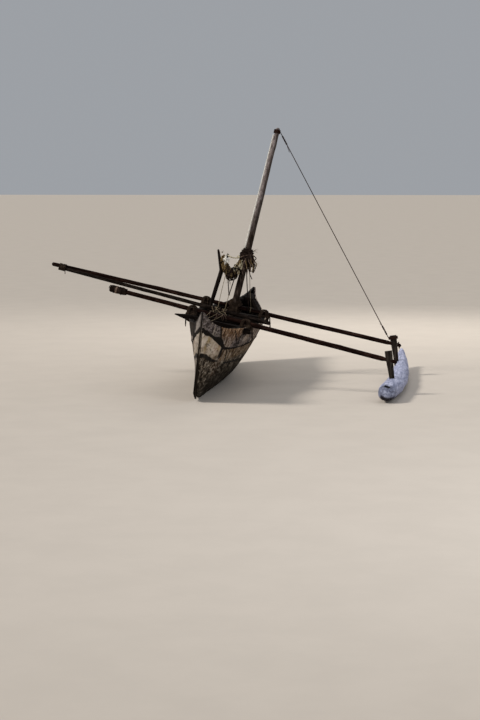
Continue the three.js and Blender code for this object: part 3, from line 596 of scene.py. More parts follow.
def hullPaint():
    paint = Paint("hullCoating", 0.86)
    ramps, tints = coat["ramps"], coat["tints"]
    here = hullPlace(paint)
    x, y, z = paint.axes(here)
    seamGap = paint.attribute("seamGap")
    sheerGap = paint.attribute("sheerGap")
    alongHull = paint.stretch(here, (0.36, 1, 1))
    wobble = paint.cloud(here, 9, 4, 0.6) - 0.5
    fine = paint.cloud(here, 60, 8, 0.7)
    blots = paint.cloud(here, 13, 7, 0.68, 0.5)
    wide = paint.cloud(here, 3.4, 5, 0.6, 0.6)
    grain = paint.cloud(paint.stretch(here, (1.6, 20, 34)), 3.2, 8, 0.68, 0.5)
    drips = paint.cloud(paint.stretch(here, (26, 26, 1.5)), 2.2, 6, 0.62, 0.25)

    def patch(name, shakeX=0, shakeZ=0):
        (middleX, endX, fullX), (middleZ, endZ, fullZ) = coat["patches"][name]
        acrossX = paint.fade(abs(x - middleX) + shakeX, endX, fullX)
        return acrossX * paint.fade(abs(z - middleZ) + shakeZ, endZ, fullZ)

    # the strake: grey coat, going brown where it is thin
    grey = paint.colors(grain, ramps["grey"])
    ridgeX, ridgeZ, lean = butts["fore"]
    ridgeGap = x - ((z - ridgeZ / 1000) * lean + ridgeX / 1000) + wobble * 0.02
    aftOfRidge = paint.fade(ridgeGap, 0.006, -0.006)
    aftTone = paint.mix(paint.fade(wide, 0.4, 0.6), paint.colors(drips, ramps["pale"]), grey)
    rusty = paint.fade(x, coat["rustFrom"] - 0.1, coat["rustFrom"] + 0.12) * aftOfRidge
    rusty = rusty * paint.fade(sheerGap + (drips - 0.5) * 0.32, 0.15, 0.03)
    strake = paint.mix(aftOfRidge, grey, aftTone)
    strake = paint.mix(rusty * 0.85, strake, paint.colors(drips, ramps["rust"]))

    # the dugout: a light panel at the bow, planks gone brown, dark and mottled low down
    plain = paint.cloud(paint.stretch(here, (0.5, 1, 1)), 9, 6, 0.62, 0.4)
    ochre = paint.fade(paint.cloud(here, 7, 3, 0.5), 0.56, 0.68) * 0.6
    beige = paint.mix(ochre, paint.colors(plain, ramps["beige"]), tints["ochre"])
    flecks = paint.fade(paint.cloud(here, 34, 5, 0.65, 0.5), 0.44, 0.56)
    beige = paint.mix(patch("blush", wobble * 0.2, wobble * 0.1) * flecks * 0.8, beige, tints["blush"])
    brown = paint.colors(drips, ramps["brown"])
    mottle = paint.colors(paint.cloud(alongHull, 26, 7, 0.72, 0.5), ramps["mottle"])
    panelGap = paint.attribute("panelLow") + wobble * 0.03
    lower = paint.mix(paint.fade(panelGap, -0.012, 0.006), mottle, brown)
    ragged = (drips - 0.5) * 0.16 + (blots - 0.5) * 0.14
    foreOfEdge = paint.fade(paint.attribute("panelAft") + ragged, -0.012, 0.012)
    panel = foreOfEdge * paint.fade(panelGap, -0.006, 0.006)
    base = paint.mix(panel, lower, beige)
    # darker towards the bottom, and more so aft
    lowDarkening = paint.fade(z + wobble * 0.12 - paint.fade(x, 2.05, 1.55) * 0.13, 0.27, 0.0)
    base = paint.mix(lowDarkening * 0.86, base, tints["lowDarkening"])
    weeping = paint.fade(drips, 0.50, 0.58) * patch("weeping")
    base = paint.mix(weeping * 0.7, base, tints["weeping"])
    color = paint.mix(paint.fade(seamGap, -0.002, 0.002), base, strake)

    # hand-sized wear, darker and lighter
    awayFromLowDarkening = 1 - lowDarkening * 0.8
    spots = paint.cloud(alongHull, 25, 3, 0.6, 0.9)
    color = paint.mix(paint.fade(spots, 0.48, 0.37) * 0.60, color, tints["worn"])
    color = paint.mix(paint.fade(spots, 0.56, 0.67) * 0.32 * awayFromLowDarkening, color, tints["bleached"])

    # streaks as wide as a hand, down the planks, and fainter on the light panel
    boards = paint.cloud(paint.stretch(here, (8.5, 8.5, 1.7)), 2.4, 6, 0.66, 0.5)
    underPanel = foreOfEdge * paint.fade(panelGap, 0.0, -0.03) * 0.6
    calm = 1 - (panel * 0.75).high(underPanel) * paint.fade(seamGap, 0.002, -0.002)
    color = paint.mix(paint.fade(boards, 0.47, 0.36) * 0.66 * calm, color, tints["boardDark"])
    color = paint.mix(paint.fade(boards, 0.54, 0.64) * 0.42 * calm * awayFromLowDarkening, color, tints["boardPale"])

    # painted light: patches on the sunlit starboard side are painted paler
    sunSideLight = paint.fade(y, -0.004, -0.012) * paint.fade(blots + wide * 0.5, 0.52, 0.78)
    color = paint.mix(sunSideLight * 0.5, color, tints["sunSideLight"])

    # tar along the seam, the panel's lower edge, the plank end and the cracks, and painted shadow under the
    # starboard gunwale
    uneven = wobble * 0.030 + (blots - 0.5) * 0.026
    seam = paint.attribute("tarOver").low(paint.attribute("tarUnder")) + uneven
    edge = paint.fade(panelGap, 0.004, -0.003) * foreOfEdge
    edge = edge * paint.fade(paint.attribute("panelDark") + uneven, -0.006, 0.006)
    ridge = paint.fade(abs(ridgeGap) - 0.011 - blots * 0.018, 0.006, -0.004)
    ridge = ridge * paint.fade(seamGap, -0.01, 0.01)
    smear = patch("smear", wobble * 0.07, (blots - 0.5) * 0.14)
    shakenX, shakenZ = x + uneven * 0.4, z + uneven * 0.3
    portSide = paint.fade(y, 0.0, 0.01)
    for start, end, half in coat["cracks"]:
        smear = smear.high(paint.streak(shakenX, shakenZ, start, end, half) * portSide)
    gunwaleShadowReach = paint.fade(x, 2.42, 2.05) * paint.fade(x, 0.2, 0.7) * 0.12 + 0.016
    gunwaleShadow = paint.fade(sheerGap - gunwaleShadowReach + wobble * 0.08, 0.018, -0.012) * paint.fade(y, 0.0, -0.01)
    # the tar mask also carries the painted shadow under the starboard gunwale, in the tar colour
    tar = paint.fade(seam, -0.004, 0.003).high(ridge).high(edge * 0.92).high(smear * 0.94).high(gunwaleShadow * 0.94)
    color = paint.mix(tar * 0.995, color, tints["tar"])

    # scars and dirt
    clean = 1 - tar * 0.8
    scars = paint.fade(paint.cloud(paint.stretch(here, (2.4, 12, 12)), 6, 8, 0.7, 1.2), 0.61, 0.66)
    color = paint.mix(scars * 0.7, color, tints["scar"])
    color = paint.mix(paint.fade(fine, 0.63, 0.74) * 0.5 * clean, color, tints["speck"])
    runs = paint.fade(paint.cloud(paint.stretch(here, (34, 34, 1.1)), 2.0, 5, 0.6), 0.58, 0.68)
    runs = runs * clean * (paint.fade(panelGap, -0.04, 0.0) * 0.7 + 0.3)
    color = paint.mix(runs * 0.42, color, tints["run"])
    # painted shade: the hull's inner faces are painted near black
    inside = paint.fade(paint.attribute("inside"), 0.4, 0.6)
    color = paint.mix(inside, color, paint.colors(grain, ramps["inside"]))
    height = grain * 0.5 + blots * 0.5 + fine * 0.2 - scars * 0.7 + tar * 0.7
    return paint.finish(color, paint.fade(tar, 0, 1, 0.9, 0.62), paint.bump(height, 0.0022))


finishes["hull"] = hullPaint()

hullNodes = {
    "step": 0.030,
    "edge": 0.0018,
    "sharp": 50,
    "skinDepth": 9,  # millimetres in from the outer skin, past which a place is inside
    "inward": -0.25,  # and so is one whose normal points in by more than this
    "rows": [("dugout_base", "dugout")] + [
        (f"strake_{side}_{length}", "strake") for side in sides for length in ("fore", "mid", "aft")
    ],
}


def dressHull(node, slot):
    mesh = copyOf(node)
    slices(mesh, axisX, hullNodes["step"])
    slices(mesh, hullUp, hullNodes["step"])
    names = ("seamGap", "sheerGap", "inside", "tarUnder", "tarOver", "panelLow", "panelDark", "panelAft")
    layers = {name: mesh.verts.layers.float.new(name) for name in names}
    mesh.normal_update()
    for vert in mesh.verts:
        x, y, z = toPlan(vert.co)
        u, v = surfaceAt(x, z)
        gap = z - seamHeight(x)
        overEdge = z - rowAt(coat["panelLow"], x)
        outward = (heelTurn.transposed() @ vert.normal).y * math.copysign(1, y)
        within = hullY(u, v) - abs(y) > hullNodes["skinDepth"] or outward < hullNodes["inward"]
        vert[layers["inside"]] = 1.0 if within else 0.0
        gaps = {
            "seamGap": gap,
            "sheerGap": sheerZ(u) - z,
            "tarUnder": gap - rowAt(coat["tar"], x),
            "tarOver": rowAt(coat["tar"], x, 2) - gap,
            "panelLow": overEdge,
            "panelDark": overEdge + rowAt(coat["panelLow"], x, 2),
            "panelAft": x - rowAt(coat["panelAft"], z),
        }
        for name, millimetres in gaps.items():
            vert[layers[name]] = millimetres / 1000
    wearEdges(mesh, hullNodes["edge"], hullNodes["sharp"])
    weather(mesh)
    place(mesh, "coated_" + node, finishes["hull"], [node], smooth=42)


for row in hullNodes["rows"]:
    dressHull(*row)
print("hull coated")


# Float: a shaped log under old pale coating
floatLook = {
    "step": 0.034,
    "noseStep": 0.010,
    "noseFrom": 2050,
    "flat": 0.4,
    "slot": (2116, 1757, 158),
    "slotAlong": (0.5, 0.86),
    "slotReach": (0.031, 0.026),
    "slotDepth": 0.030,
    "slotBelow": 0.05,  # how far under the slot's top the dent still reaches
    "lumps": [(0.0035, 5), (0.0012, 23)],  # height, waves
    "tip": (2195, 1706, 36),
}


def floatPaint():
    paint = Paint("floatCoating", 0.62)
    here = paint.place(shift=tuple(-plan["origin"]))
    x, y, z = paint.axes(here)
    streak = paint.cloud(paint.stretch(here, (1.6, 14, 14)), 3.0, 8, 0.66, 0.5)
    blots = paint.cloud(here, 8, 7, 0.66, 0.4)
    fine = paint.cloud(here, 70, 6, 0.7)
    color = paint.colors(streak, [
        (0.3, (0.14, 0.155, 0.24)), (0.5, (0.36, 0.375, 0.51)), (0.70, (0.62, 0.63, 0.78)),
    ])
    color = paint.mix(paint.fade(blots, 0.5, 0.66) * 0.55, color, (0.24, 0.25, 0.32))
    nose = paint.fade(x + (blots - 0.5) * 0.12, 2.00, 2.10)
    dabs = paint.colors(paint.cloud(here, 26, 6, 0.7, 0.4), [
        (0.40, (0.028, 0.032, 0.052)), (0.5, (0.100, 0.111, 0.165)), (0.62, (0.35, 0.38, 0.48)),
    ])
    color = paint.mix(nose * 0.72, color, dabs)
    tipX, tipY, tipZ = (millimetres / 1000 for millimetres in floatLook["tip"])
    fromTip = ((x - tipX) ** 2 + (y - tipY) ** 2 + (z - tipZ) ** 2) ** 0.5
    tip = paint.fade(fromTip + (blots - 0.5) * 0.05, 0.058, 0.040)
    color = paint.mix(tip * 0.95, color, (0.010, 0.008, 0.009))
    slotX, slotY, _ = floatLook["slot"]
    alongX, alongY = floatLook["slotAlong"]
    reachLong, reachWide = floatLook["slotReach"]
    fromX, fromY = x - slotX / 1000, y - slotY / 1000
    long = abs(fromX * alongX + fromY * alongY) / reachLong
    wide = abs(fromX * alongY - fromY * alongX) / reachWide
    # painted shade: the slot where the post goes in is painted near black
    slot = paint.fade(long.high(wide) + (fine - 0.5) * 0.3, 1.05, 0.90) * paint.fade(z, 0.10, 0.12)
    color = paint.mix(slot * 0.98, color, (0.003, 0.003, 0.004))
    # painted shade: the float's underside is painted darker
    undersideShade = paint.fade(z + (blots - 0.5) * 0.08, 0.055, 0.012)
    color = paint.mix(undersideShade * 0.6, color, (0.10, 0.095, 0.095))
    # painted shade under the nose, darker still
    noseUnderShade = paint.fade(z + (blots - 0.5) * 0.06, 0.062, 0.038) * nose
    color = paint.mix(noseUnderShade * 0.9, color, (0.018, 0.015, 0.016))
    bare = paint.fade(paint.cloud(paint.stretch(here, (3, 16, 16)), 5, 8, 0.72, 0.9), 0.6, 0.66)
    color = paint.mix(bare * 0.75, color, (0.085, 0.078, 0.085))
    specks = paint.fade(fine, 0.62, 0.72)
    color = paint.mix(specks * 0.4, color, (0.7, 0.71, 0.76))
    height = streak * 0.6 + blots * 0.5 - bare * 0.6 - slot * 1.5
    rough = paint.fade(bare.high(tip), 0, 1, 0.55, 0.9)
    return paint.finish(color, rough, paint.bump(height, 0.003))


finishes["float"] = floatPaint()
mesh = copyOf("float")
mergeFlats(mesh, floatLook["flat"])
slices(mesh, axisX, floatLook["step"])
nose = ground(floatLook["noseFrom"], 0, 0).x
slices(mesh, axisX, floatLook["noseStep"], nose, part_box("float")[1].x)
mesh.normal_update()
slotSpot = ground(*floatLook["slot"])
alongX, alongY = floatLook["slotAlong"]
reachLong, reachWide = floatLook["slotReach"]
for vert in mesh.verts:
    away = vert.co - slotSpot
    share = ((away.x * alongX + away.y * alongY) / reachLong) ** 2
    share += ((away.x * alongY - away.y * alongX) / reachWide) ** 2
    dent = floatLook["slotDepth"] * math.exp(-share) if away.z > -floatLook["slotBelow"] else 0
    lumps = sum(height * noise.noise(vert.co * waves) for height, waves in floatLook["lumps"])
    vert.co += vert.normal * (lumps - dent) + drift(vert.co)
place(mesh, "worn_float", finishes["float"], ["float"], smooth=60, rounds=1)
print("float worn")


# Ropes: laid strands run along paths; a path is a list of places, closed or open
def curveThrough(points, step, closed=False):
    count = len(points)
    fine = []
    for i in range(count if closed else count - 1):
        if closed:
            a, b, c, d = (points[(i + k) % count] for k in (-1, 0, 1, 2))
        else:
            a, b, c, d = (points[min(max(i + k, 0), count - 1)] for k in (-1, 0, 1, 2))
        parts = max(int((c - b).length / (step * 0.5)), 2)
        for k in range(parts):
            t = k / parts
            fine.append(0.5 * (2 * b + (c - a) * t + (2 * a - 5 * b + 4 * c - d) * t * t
                               + (3 * b - a - 3 * c + d) * t ** 3))
    fine.append(fine[0].copy() if closed else points[-1].copy())
    lengths = [0.0]
    for first, second in zip(fine, fine[1:]):
        lengths.append(lengths[-1] + (second - first).length)
    total = lengths[-1]
    wanted = max(int(round(total / step)), 3)
    even, k = [], 0
    for i in range(wanted if closed else wanted + 1):
        at = total * i / wanted
        while k < len(lengths) - 2 and lengths[k + 1] < at:
            k += 1
        span = max(lengths[k + 1] - lengths[k], 1e-9)
        even.append(fine[k].lerp(fine[k + 1], min((at - lengths[k]) / span, 1)))
    return even, total


# The lay of a rope: strands, points on each, how deep the grooves are, and the pitch and the step along it,
# all three as shares of the rope's radius
lay = {"lobes": 3, "pointsPerLobe": 3, "deep": 0.17, "pitch": 7.5, "step": 0.95, "fewestPoints": 7}


def ropePiece(name, runs, radius, finish, nodes=(), lobes=None, step=None):
    lobes = lay["lobes"] if lobes is None else lobes
    count = max(lobes * lay["pointsPerLobe"], lay["fewestPoints"])
    shape = bpy.data.curves.new(name + "Section", "CURVE")
    rim = shape.splines.new("POLY")
    rim.points.add(count - 1)
    rim.use_cyclic_u = True
    for i, point in enumerate(rim.points):
        turn = 2 * math.pi * i / count
        reach = radius * (1 - (lay["deep"] * (1 - abs(math.cos(lobes * turn / 2))) if lobes else 0))
        point.co = (reach * math.cos(turn), reach * math.sin(turn), 0, 1)
    section = bpy.data.objects.new(name + "Section", shape)
    curve = bpy.data.curves.new(name + "Path", "CURVE")
    curve.dimensions = "3D"
    curve.bevel_mode = "OBJECT"
    curve.bevel_object = section
    curve.use_fill_caps = True
    step = radius * lay["step"] if step is None else step
    for run in runs:
        points, closed = run[0], run[1]
        thick = run[2] if len(run) > 2 else lambda share: 1.0
        even, total = curveThrough(points, step, closed)
        spline = curve.splines.new("POLY")
        spline.points.add(len(even) - 1)
        spline.use_cyclic_u = closed
        turns = total / (lay["pitch"] * radius)
        if closed and lobes:
            turns = round(turns * lobes) / lobes
        for i, (point, at) in enumerate(zip(spline.points, even)):
            share = i / (len(even) if closed else max(len(even) - 1, 1))
            point.co = (*at, 1)
            point.tilt = 2 * math.pi * turns * share
            point.radius = thick(share)
    holder = bpy.data.objects.new(name + "Path", curve)
    bpy.context.scene.collection.objects.link(holder)
    graph = bpy.context.evaluated_depsgraph_get()
    data = bpy.data.meshes.new_from_object(holder.evaluated_get(graph))
    bpy.data.objects.remove(holder)
    bpy.data.objects.remove(section)
    data.name = name
    data.materials.clear()
    data.shade_smooth()
    enter(data, name, finish, nodes)


def ropeFinish(name, dark, middle, pale, depth=0.0006):
    paint = Paint(name, 0.95)
    here = paint.place()
    fibres = paint.cloud(here, 420, 5, 0.7)
    blots = paint.cloud(here, 22, 6, 0.65, 0.3)
    color = paint.colors(blots, [(0.3, dark), (0.5, middle), (0.72, pale)])
    color = paint.mix(paint.fade(fibres, 0.4, 0.7) * 0.4, color, pale)
    color = paint.mix(paint.fade(fibres, 0.5, 0.3) * 0.5, color, tuple(0.4 * c for c in dark))
    return paint.finish(color, None, paint.bump(fibres + blots * 0.5, depth))


ropeTones = {
    "lashing": ((0.006, 0.004, 0.003), (0.022, 0.014, 0.010), (0.075, 0.052, 0.036)),
    "brown": ((0.012, 0.006, 0.002), (0.092, 0.056, 0.021), (0.42, 0.315, 0.16)),
    "dark": ((0.003, 0.002, 0.0015), (0.011, 0.007, 0.0055), (0.050, 0.033, 0.026)),
    "pink": ((0.022, 0.012, 0.008), (0.095, 0.060, 0.043), (0.32, 0.235, 0.185)),
    "light": ((0.20, 0.155, 0.085), (0.46, 0.39, 0.25), (0.78, 0.72, 0.56)),
    "tan": ((0.035, 0.023, 0.012), (0.14, 0.100, 0.058), (0.42, 0.35, 0.245)),
    "stay": ((0.012, 0.006, 0.005), (0.024, 0.011, 0.008), (0.050, 0.026, 0.019)),
    "rag": ((0.022, 0.014, 0.009), (0.070, 0.045, 0.025), (0.15, 0.105, 0.062)),
    "whiteRag": ((0.42, 0.38, 0.31), (0.74, 0.70, 0.62), (0.90, 0.88, 0.83)),
}
for key, tones in ropeTones.items():
    finishes[key] = ropeFinish(key + "Rope", *tones)

boomPlan = {
    # x at the port gunwale, x at the post, radius
    "fore": (1300, 1518, 28),
    "aft": (-142, -230, 27),
    # y and z over the ground, the same for both booms
    "gunwale": (450, 634),
    "post": (1764, 328),
}


def boomPoint(name, y):
    startX, endX, _ = boomPlan[name]
    (y0, z0), (y1, z1) = boomPlan["gunwale"], boomPlan["post"]
    share = (y - y0) / (y1 - y0)
    return ground(startX + (endX - startX) * share, y, z0 + (z1 - z0) * share)


def boomAxis(name):
    return (boomPoint(name, 1700) - boomPoint(name, 0)).normalized()


def jolt(chance, reach):
    return Vector([chance.uniform(-reach, reach) for _ in range(3)])


def loop(centre, wide, high, halfWide, halfHigh, chance, square=0.8, points=14, shake=0.0012):
    # a closed turn, round when square is 0 and boxy near 1
    path = []
    for i in range(points):
        turn = 2 * math.pi * (i + 0.5) / points
        c, s = math.cos(turn), math.sin(turn)
        reach = max(abs(c), abs(s)) ** square
        at = centre + wide * (halfWide * c / reach) + high * (halfHigh * s / reach)
        path.append(at + jolt(chance, shake))
    return path


def ringsRound(centre, axis, radius, count, pitch, chance, shake=0.0008):
    side = axis.cross(axisX if abs(axis.x) < 0.8 else axisZ).normalized()
    other = axis.cross(side)
    middle = (count - 1) / 2
    rings = []
    for i in range(count):
        at = centre + axis * (pitch * (i - middle))
        rings.append((loop(at, side, other, radius, radius, chance, 0, 10, shake), True))
    return rings


def windings(pathAt, radiusAt, turns, chance, shake=0.001, start=0.0, perTurn=10):
    # a helix along pathAt(share) -> place, side, other
    path = []
    for i in range(int(turns * perTurn) + 1):
        share = i / (turns * perTurn)
        at, side, other = pathAt(share)
        turn = 2 * math.pi * (i / perTurn) + start
        reach = radiusAt(share) + chance.uniform(-shake, shake)
        path.append(at + side * (reach * math.cos(turn)) + other * (reach * math.sin(turn)))
    return path


# Lashings of the booms on the gunwales: crossed turns over the saddle, then frapping turns
tie = {
    "radius": 0.0046,
    "turns": 5,
    "apart": 2.06,  # from one turn to the next, in radii
    "reach": (0.050, 0.056),
    "shake": 0.0012,
    "inwaleDepth": 0.034,
    "frapping": 4,
    "tails": 3,
    "tailFall": (0.07, 0.16),
    "bulge": 0.012,
}


def tieDown(boom, side):
    chance = random.Random(boom + side)
    low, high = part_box(f"saddle_{boom}_{side}")
    axis = boomAxis(boom)
    on = boomPoint(boom, 0)
    over = on + axis * ((low + high) / 2 - on).dot(axis)
    flat = (axis - hullUp * axis.dot(hullUp)).normalized()
    r = tie["radius"]
    boomR = boomPlan[boom][2] / 1000
    x, _, z = toPlan(over)
    toSheer = (z - sheerZ(hullU(x, 1))) / 1000
    toUnder = toSheer + tie["inwaleDepth"]
    runs = []
    for sign in (1, -1):
        wide = (axisX + flat * sign).normalized()
        shift = (axisX - flat * sign).normalized()
        for k in range(tie["turns"]):
            off = (k - (tie["turns"] - 1) / 2) * tie["apart"] * r
            lift = r * (1 + 0.7 * (k % 2) + (0.9 if sign < 0 else 0))
            reach = chance.uniform(*tie["reach"])
            # half a turn, out and up, from the boom's top to under the inwale
            half = [
                (0, boomR + lift), (boomR * 1.0125, (boomR + lift) * 0.80), (boomR * 1.40 + lift, 0.0),
                (reach, -0.6 * toSheer), (reach, -toSheer - 0.012), (reach * 0.86, -toUnder - r * 0.4),
                (reach * 0.45, -toUnder - lift * 1.1), (0, -toUnder - lift * 1.4),
            ]
            whole = half + [(-out, up) for out, up in half[-2:0:-1]]
            path = []
            for out, up in whole:
                path.append(over + shift * off + wide * out + hullUp * up + jolt(chance, tie["shake"]))
            runs.append((path, True))
    leg = tie["reach"][0] * 0.72 + 2.4 * r
    for k in range(tie["frapping"]):
        down = -boomR * 0.55 - (toSheer - boomR * 0.5) * (k + 0.5) / (tie["frapping"] + 0.6)
        centre = over + hullUp * down
        runs.append((loop(centre, axisX, flat, leg, leg * 0.96, chance, 0.72, 12, 0.0022), True))
    outward = flat * (1 if side == "port" else -1)
    for k in range(tie["tails"]):
        start = over + outward * (leg + r) + axisX * chance.uniform(-0.03, 0.03) + hullUp * (-toSheer * 0.6)
        fall = chance.uniform(*tie["tailFall"])
        sway = outward * tie["bulge"] + axisX * chance.uniform(-0.02, 0.02)
        tail = [
            start - outward * tie["bulge"], start + sway * 0.6, start + sway - axisZ * fall * 0.4,
            start + sway * 1.2 - axisZ * fall,
        ]
        runs.append((tail, False))
    ropePiece(f"turns_{boom}_{side}", runs, r, finishes["lashing"], [f"lashing_{boom}_{side}"])


for boom in booms:
    for side in sides:
        tieDown(boom, side)
print("booms lashed")

mastAxis = (mastAt(mastPlan["head"][2]) - mastAt(mastPlan["foot"][2])).normalized()
mastTie = {"height": 722, "aft": 28.9, "half": 0.0765, "radius": 0.0048, "turns": 6, "apart": 2.1, "tails": 3}
chance = random.Random("mast tie")
runs = []
centre = mastAt(mastTie["height"], mastTie["aft"])
for sign in (1, -1):
    wide = (boomAxis("aft") + mastAxis * sign).normalized()
    shift = (boomAxis("aft") - mastAxis * sign).normalized()
    for k in range(mastTie["turns"]):
        off = (k - (mastTie["turns"] - 1) / 2) * mastTie["apart"] * mastTie["radius"]
        half = mastTie["half"] + chance.uniform(0, 0.004) + (0.004 if sign < 0 else 0)
        runs.append((loop(centre + shift * off, wide, axisX, half * 0.98, half, chance, 0.62), True))
for k in range(mastTie["tails"]):
    spot = centre + axisX * 0.075 + mastAxis * (0.02 * (k - 1)) + boomAxis("aft") * 0.03
    tail = [spot, spot + axisX * 0.015 - axisZ * 0.02, spot + axisX * 0.02 - axisZ * (0.09 + 0.03 * k)]
    runs.append((tail, False))
ropePiece("turns_mast", runs, mastTie["radius"], finishes["lashing"], ["lashing_mast"])

# Spar tip on the aft boom
tipTie = {"from": -1640, "to": -1704, "turns": 8, "radius": 0.0042, "halfHigh": 0.0262, "beyond": 0.0265}
sparPlan = {"tip": (38, -1712, 1122), "end": (631, 560, 596.4), "radius": 0.021}
sparTip, sparEnd = ground(*sparPlan["tip"]), ground(*sparPlan["end"])
sparAxis = (sparEnd - sparTip).normalized()


def sparPoint(y):
    share = (y - sparPlan["tip"][1]) / (sparPlan["end"][1] - sparPlan["tip"][1])
    return sparTip.lerp(sparEnd, share)


runs = []
for k in range(tipTie["turns"]):
    y = tipTie["from"] + (tipTie["to"] - tipTie["from"]) * k / (tipTie["turns"] - 1)
    onBoom, onSpar = boomPoint("aft", y), sparPoint(y)
    wide = (onSpar - onBoom).normalized()
    high = wide.cross(boomAxis("aft")).normalized()
    halfWide = (onBoom - onSpar).length / 2 + tipTie["beyond"]
    middle = onBoom.lerp(onSpar, 0.5)
    runs.append((loop(middle, wide, high, halfWide, tipTie["halfHigh"], chance, 0.35), True))
spot = runs[3][0][4]
runs.append(([spot, spot + Vector((0.004, 0.01, -0.02)), spot + Vector((0.006, 0.012, -0.10))], False))
ropePiece("turns_spar_tip", runs, tipTie["radius"], finishes["lashing"], ["lashing_spar_tip"])

# Grip: old cloth on the fore boom's end, bound with cord
grip = {
    "from": -985, "to": -815, "radii": (30, 37, 34, 37, 29),
    "cord": 0.0036, "turns": 19, "overTurns": 5,
    "band": {"share": 0.42, "reach": 0.0345, "turns": 3, "pitch": 0.0068},
}


def tableAt(values, share):
    # straight lines between values that are evenly spaced
    at = min(max(share, 0), 1) * (len(values) - 1)
    i = min(int(at), len(values) - 2)
    return values[i] + (values[i + 1] - values[i]) * (at - i)


folds = {"step": 0.02, "waves": 26, "finer": 2.7, "flat": 1}


def shrunk(node, name, finish, by, depth):
    # a core of folded cloth, a little inside the solid, under the cord that is wound on it
    mesh = copyOf(node)
    mergeFlats(mesh, folds["flat"])
    for normal in (axisX, axisY, axisZ):
        slices(mesh, normal, folds["step"])
    bmesh.ops.triangulate(mesh, faces=[f for f in mesh.faces if len(f.verts) > 4])
    mesh.normal_update()
    for vert in mesh.verts:
        spot = vert.co * folds["waves"]
        ridges = noise.noise(spot) + 0.5 * noise.noise(spot * folds["finer"])
        vert.co += vert.normal * (ridges * depth - by)
    place(mesh, name, finish, [node], smooth=180, rounds=1)


shrunk("grip_boom_fore", "grip_cloth", finishes["dark"], 0.0060, 0.002)
foreSide = boomAxis("fore").cross(axisZ).normalized()
foreUp = foreSide.cross(boomAxis("fore"))


def gripAt(share):
    return boomPoint("fore", grip["from"] + (grip["to"] - grip["from"]) * share), foreSide, foreUp


def gripReach(out):
    return lambda share: tableAt(grip["radii"], share) / 1000 + out


runs = [
    (windings(gripAt, gripReach(-0.0025), grip["turns"], chance, 0.0012), False),
    (windings(gripAt, gripReach(0.0005), grip["overTurns"], chance, 0.002, 2.0), False),
]
ropePiece("grip_cord", runs, grip["cord"], finishes["dark"])
band = grip["band"]
bandSpot = gripAt(band["share"])[0]
bands = ringsRound(bandSpot, boomAxis("fore"), band["reach"], band["turns"], band["pitch"], chance)
ropePiece("grip_band", bands, grip["cord"], finishes["pink"])
print("grip bound")

# Bundle of old rope in the crutch, and the turns on the mast
bundle = {
    "rows": [
        # x, y, z, radius in the hull's frame
        (-22, -206, 1232, 18), (2, -190, 1176, 34), (14, -152, 1104, 44), (4, -104, 1052, 48),
        (-24, -56, 1074, 46), (-56, -30, 1140, 42), (-80, -14, 1205, 30),
    ],
    "strand": 0.0054,
    "strands": 30,
    "lightStrands": 18,
    "binding": 13,
    "bights": 4,
}
shrunk("rope_bundle", "bundle_core", finishes["rag"], 0.010, 0.006)
shrunk("rope_wrap", "wrap_core", finishes["dark"], 0.009, 0.004)


def bundleFrame(share):
    at = share * (len(bundle["rows"]) - 1)
    i = min(int(at), len(bundle["rows"]) - 2)
    first, second = bundle["rows"][i], bundle["rows"][i + 1]
    t = at - i
    x, y, z, radius = (a + (b - a) * t for a, b in zip(first, second))
    before, after = bundle["rows"][max(i - 1, 0)], bundle["rows"][min(i + 2, len(bundle["rows"]) - 1)]
    tangent = (onHull(*after[:3]) - onHull(*before[:3])).normalized()
    side = tangent.cross(axisX).normalized()
    return onHull(x, y, z), side, tangent.cross(side), radius / 1000


def strandPath(chance, reachLow, reachHigh, start, stop):
    theta = chance.uniform(0, 2 * math.pi)
    twist = chance.uniform(-1.1, 1.1) * math.pi
    path = []
    for i in range(15):
        share = start + (stop - start) * i / 14
        at, side, other, radius = bundleFrame(share)
        reach = max(radius * chance.uniform(reachLow, reachHigh) - bundle["strand"], 0.002)
        turn = theta + twist * share + chance.uniform(-0.22, 0.22)
        path.append(at + side * (reach * math.cos(turn)) + other * (reach * math.sin(turn)))
    return path


chance = random.Random("bundle")
strand = bundle["strand"]
brown, light, dark = [], [], []
for _ in range(bundle["strands"]):
    start, stop = chance.uniform(0, 0.12), chance.uniform(0.86, 1)
    brown.append((strandPath(chance, 0.86, 1.04, start, stop), False))
for _ in range(bundle["lightStrands"]):
    start = chance.uniform(0.5, 0.74)
    stop = min(start + chance.uniform(0.16, 0.36), 1)
    light.append((strandPath(chance, 0.98, 1.14, start, stop), False))
for k in range(bundle["binding"]):
    # turns that bind the bundle, most of them at its lowest part
    share = chance.uniform(0.40, 0.60) if k % 2 else chance.uniform(0.10, 0.80)
    at, side, other, radius = bundleFrame(share)
    lean = chance.uniform(-0.5, 0.5)
    slanted = side + side.cross(other) * lean
    dark.append((loop(at, slanted, other, radius + 0.003, radius + 0.003, chance, 0, 12, 0.004), True))
for k in range(bundle["bights"]):
    # bights that hang under it
    at, _, _, radius = bundleFrame(chance.uniform(0.38, 0.66))
    drop = radius + chance.uniform(0.004, 0.026)
    spread = chance.uniform(0.018, 0.04)
    offset = axisX * chance.uniform(-0.02, 0.03)
    rows = [
        # along y in spreads, down in drops, share of the offset
        (-1, 0, 0.4), (-1.1, 0.7, 1), (0, 1, 1), (1.1, 0.66, 1), (1, 0, 0.4),
    ]
    path = [at + axisY * spread * a - axisZ * drop * b + offset * c for a, b, c in rows]
    (brown if k % 2 else dark).append((path, False))

wrapPlan = {
    "from": 1130, "to": 1330, "radii": (53, 70, 72, 66, 51),
    "turns": 17, "slanted": 20, "hanging": 30, "looseLoops": 3,
}
wrapSide = mastAxis.cross(axisY).normalized()
wrapOther = mastAxis.cross(wrapSide)


def wrapAt(share):
    return mastAt(wrapPlan["from"] + (wrapPlan["to"] - wrapPlan["from"]) * share), wrapSide, wrapOther


def wrapRadius(share):
    return tableAt(wrapPlan["radii"], share) / 1000 - strand


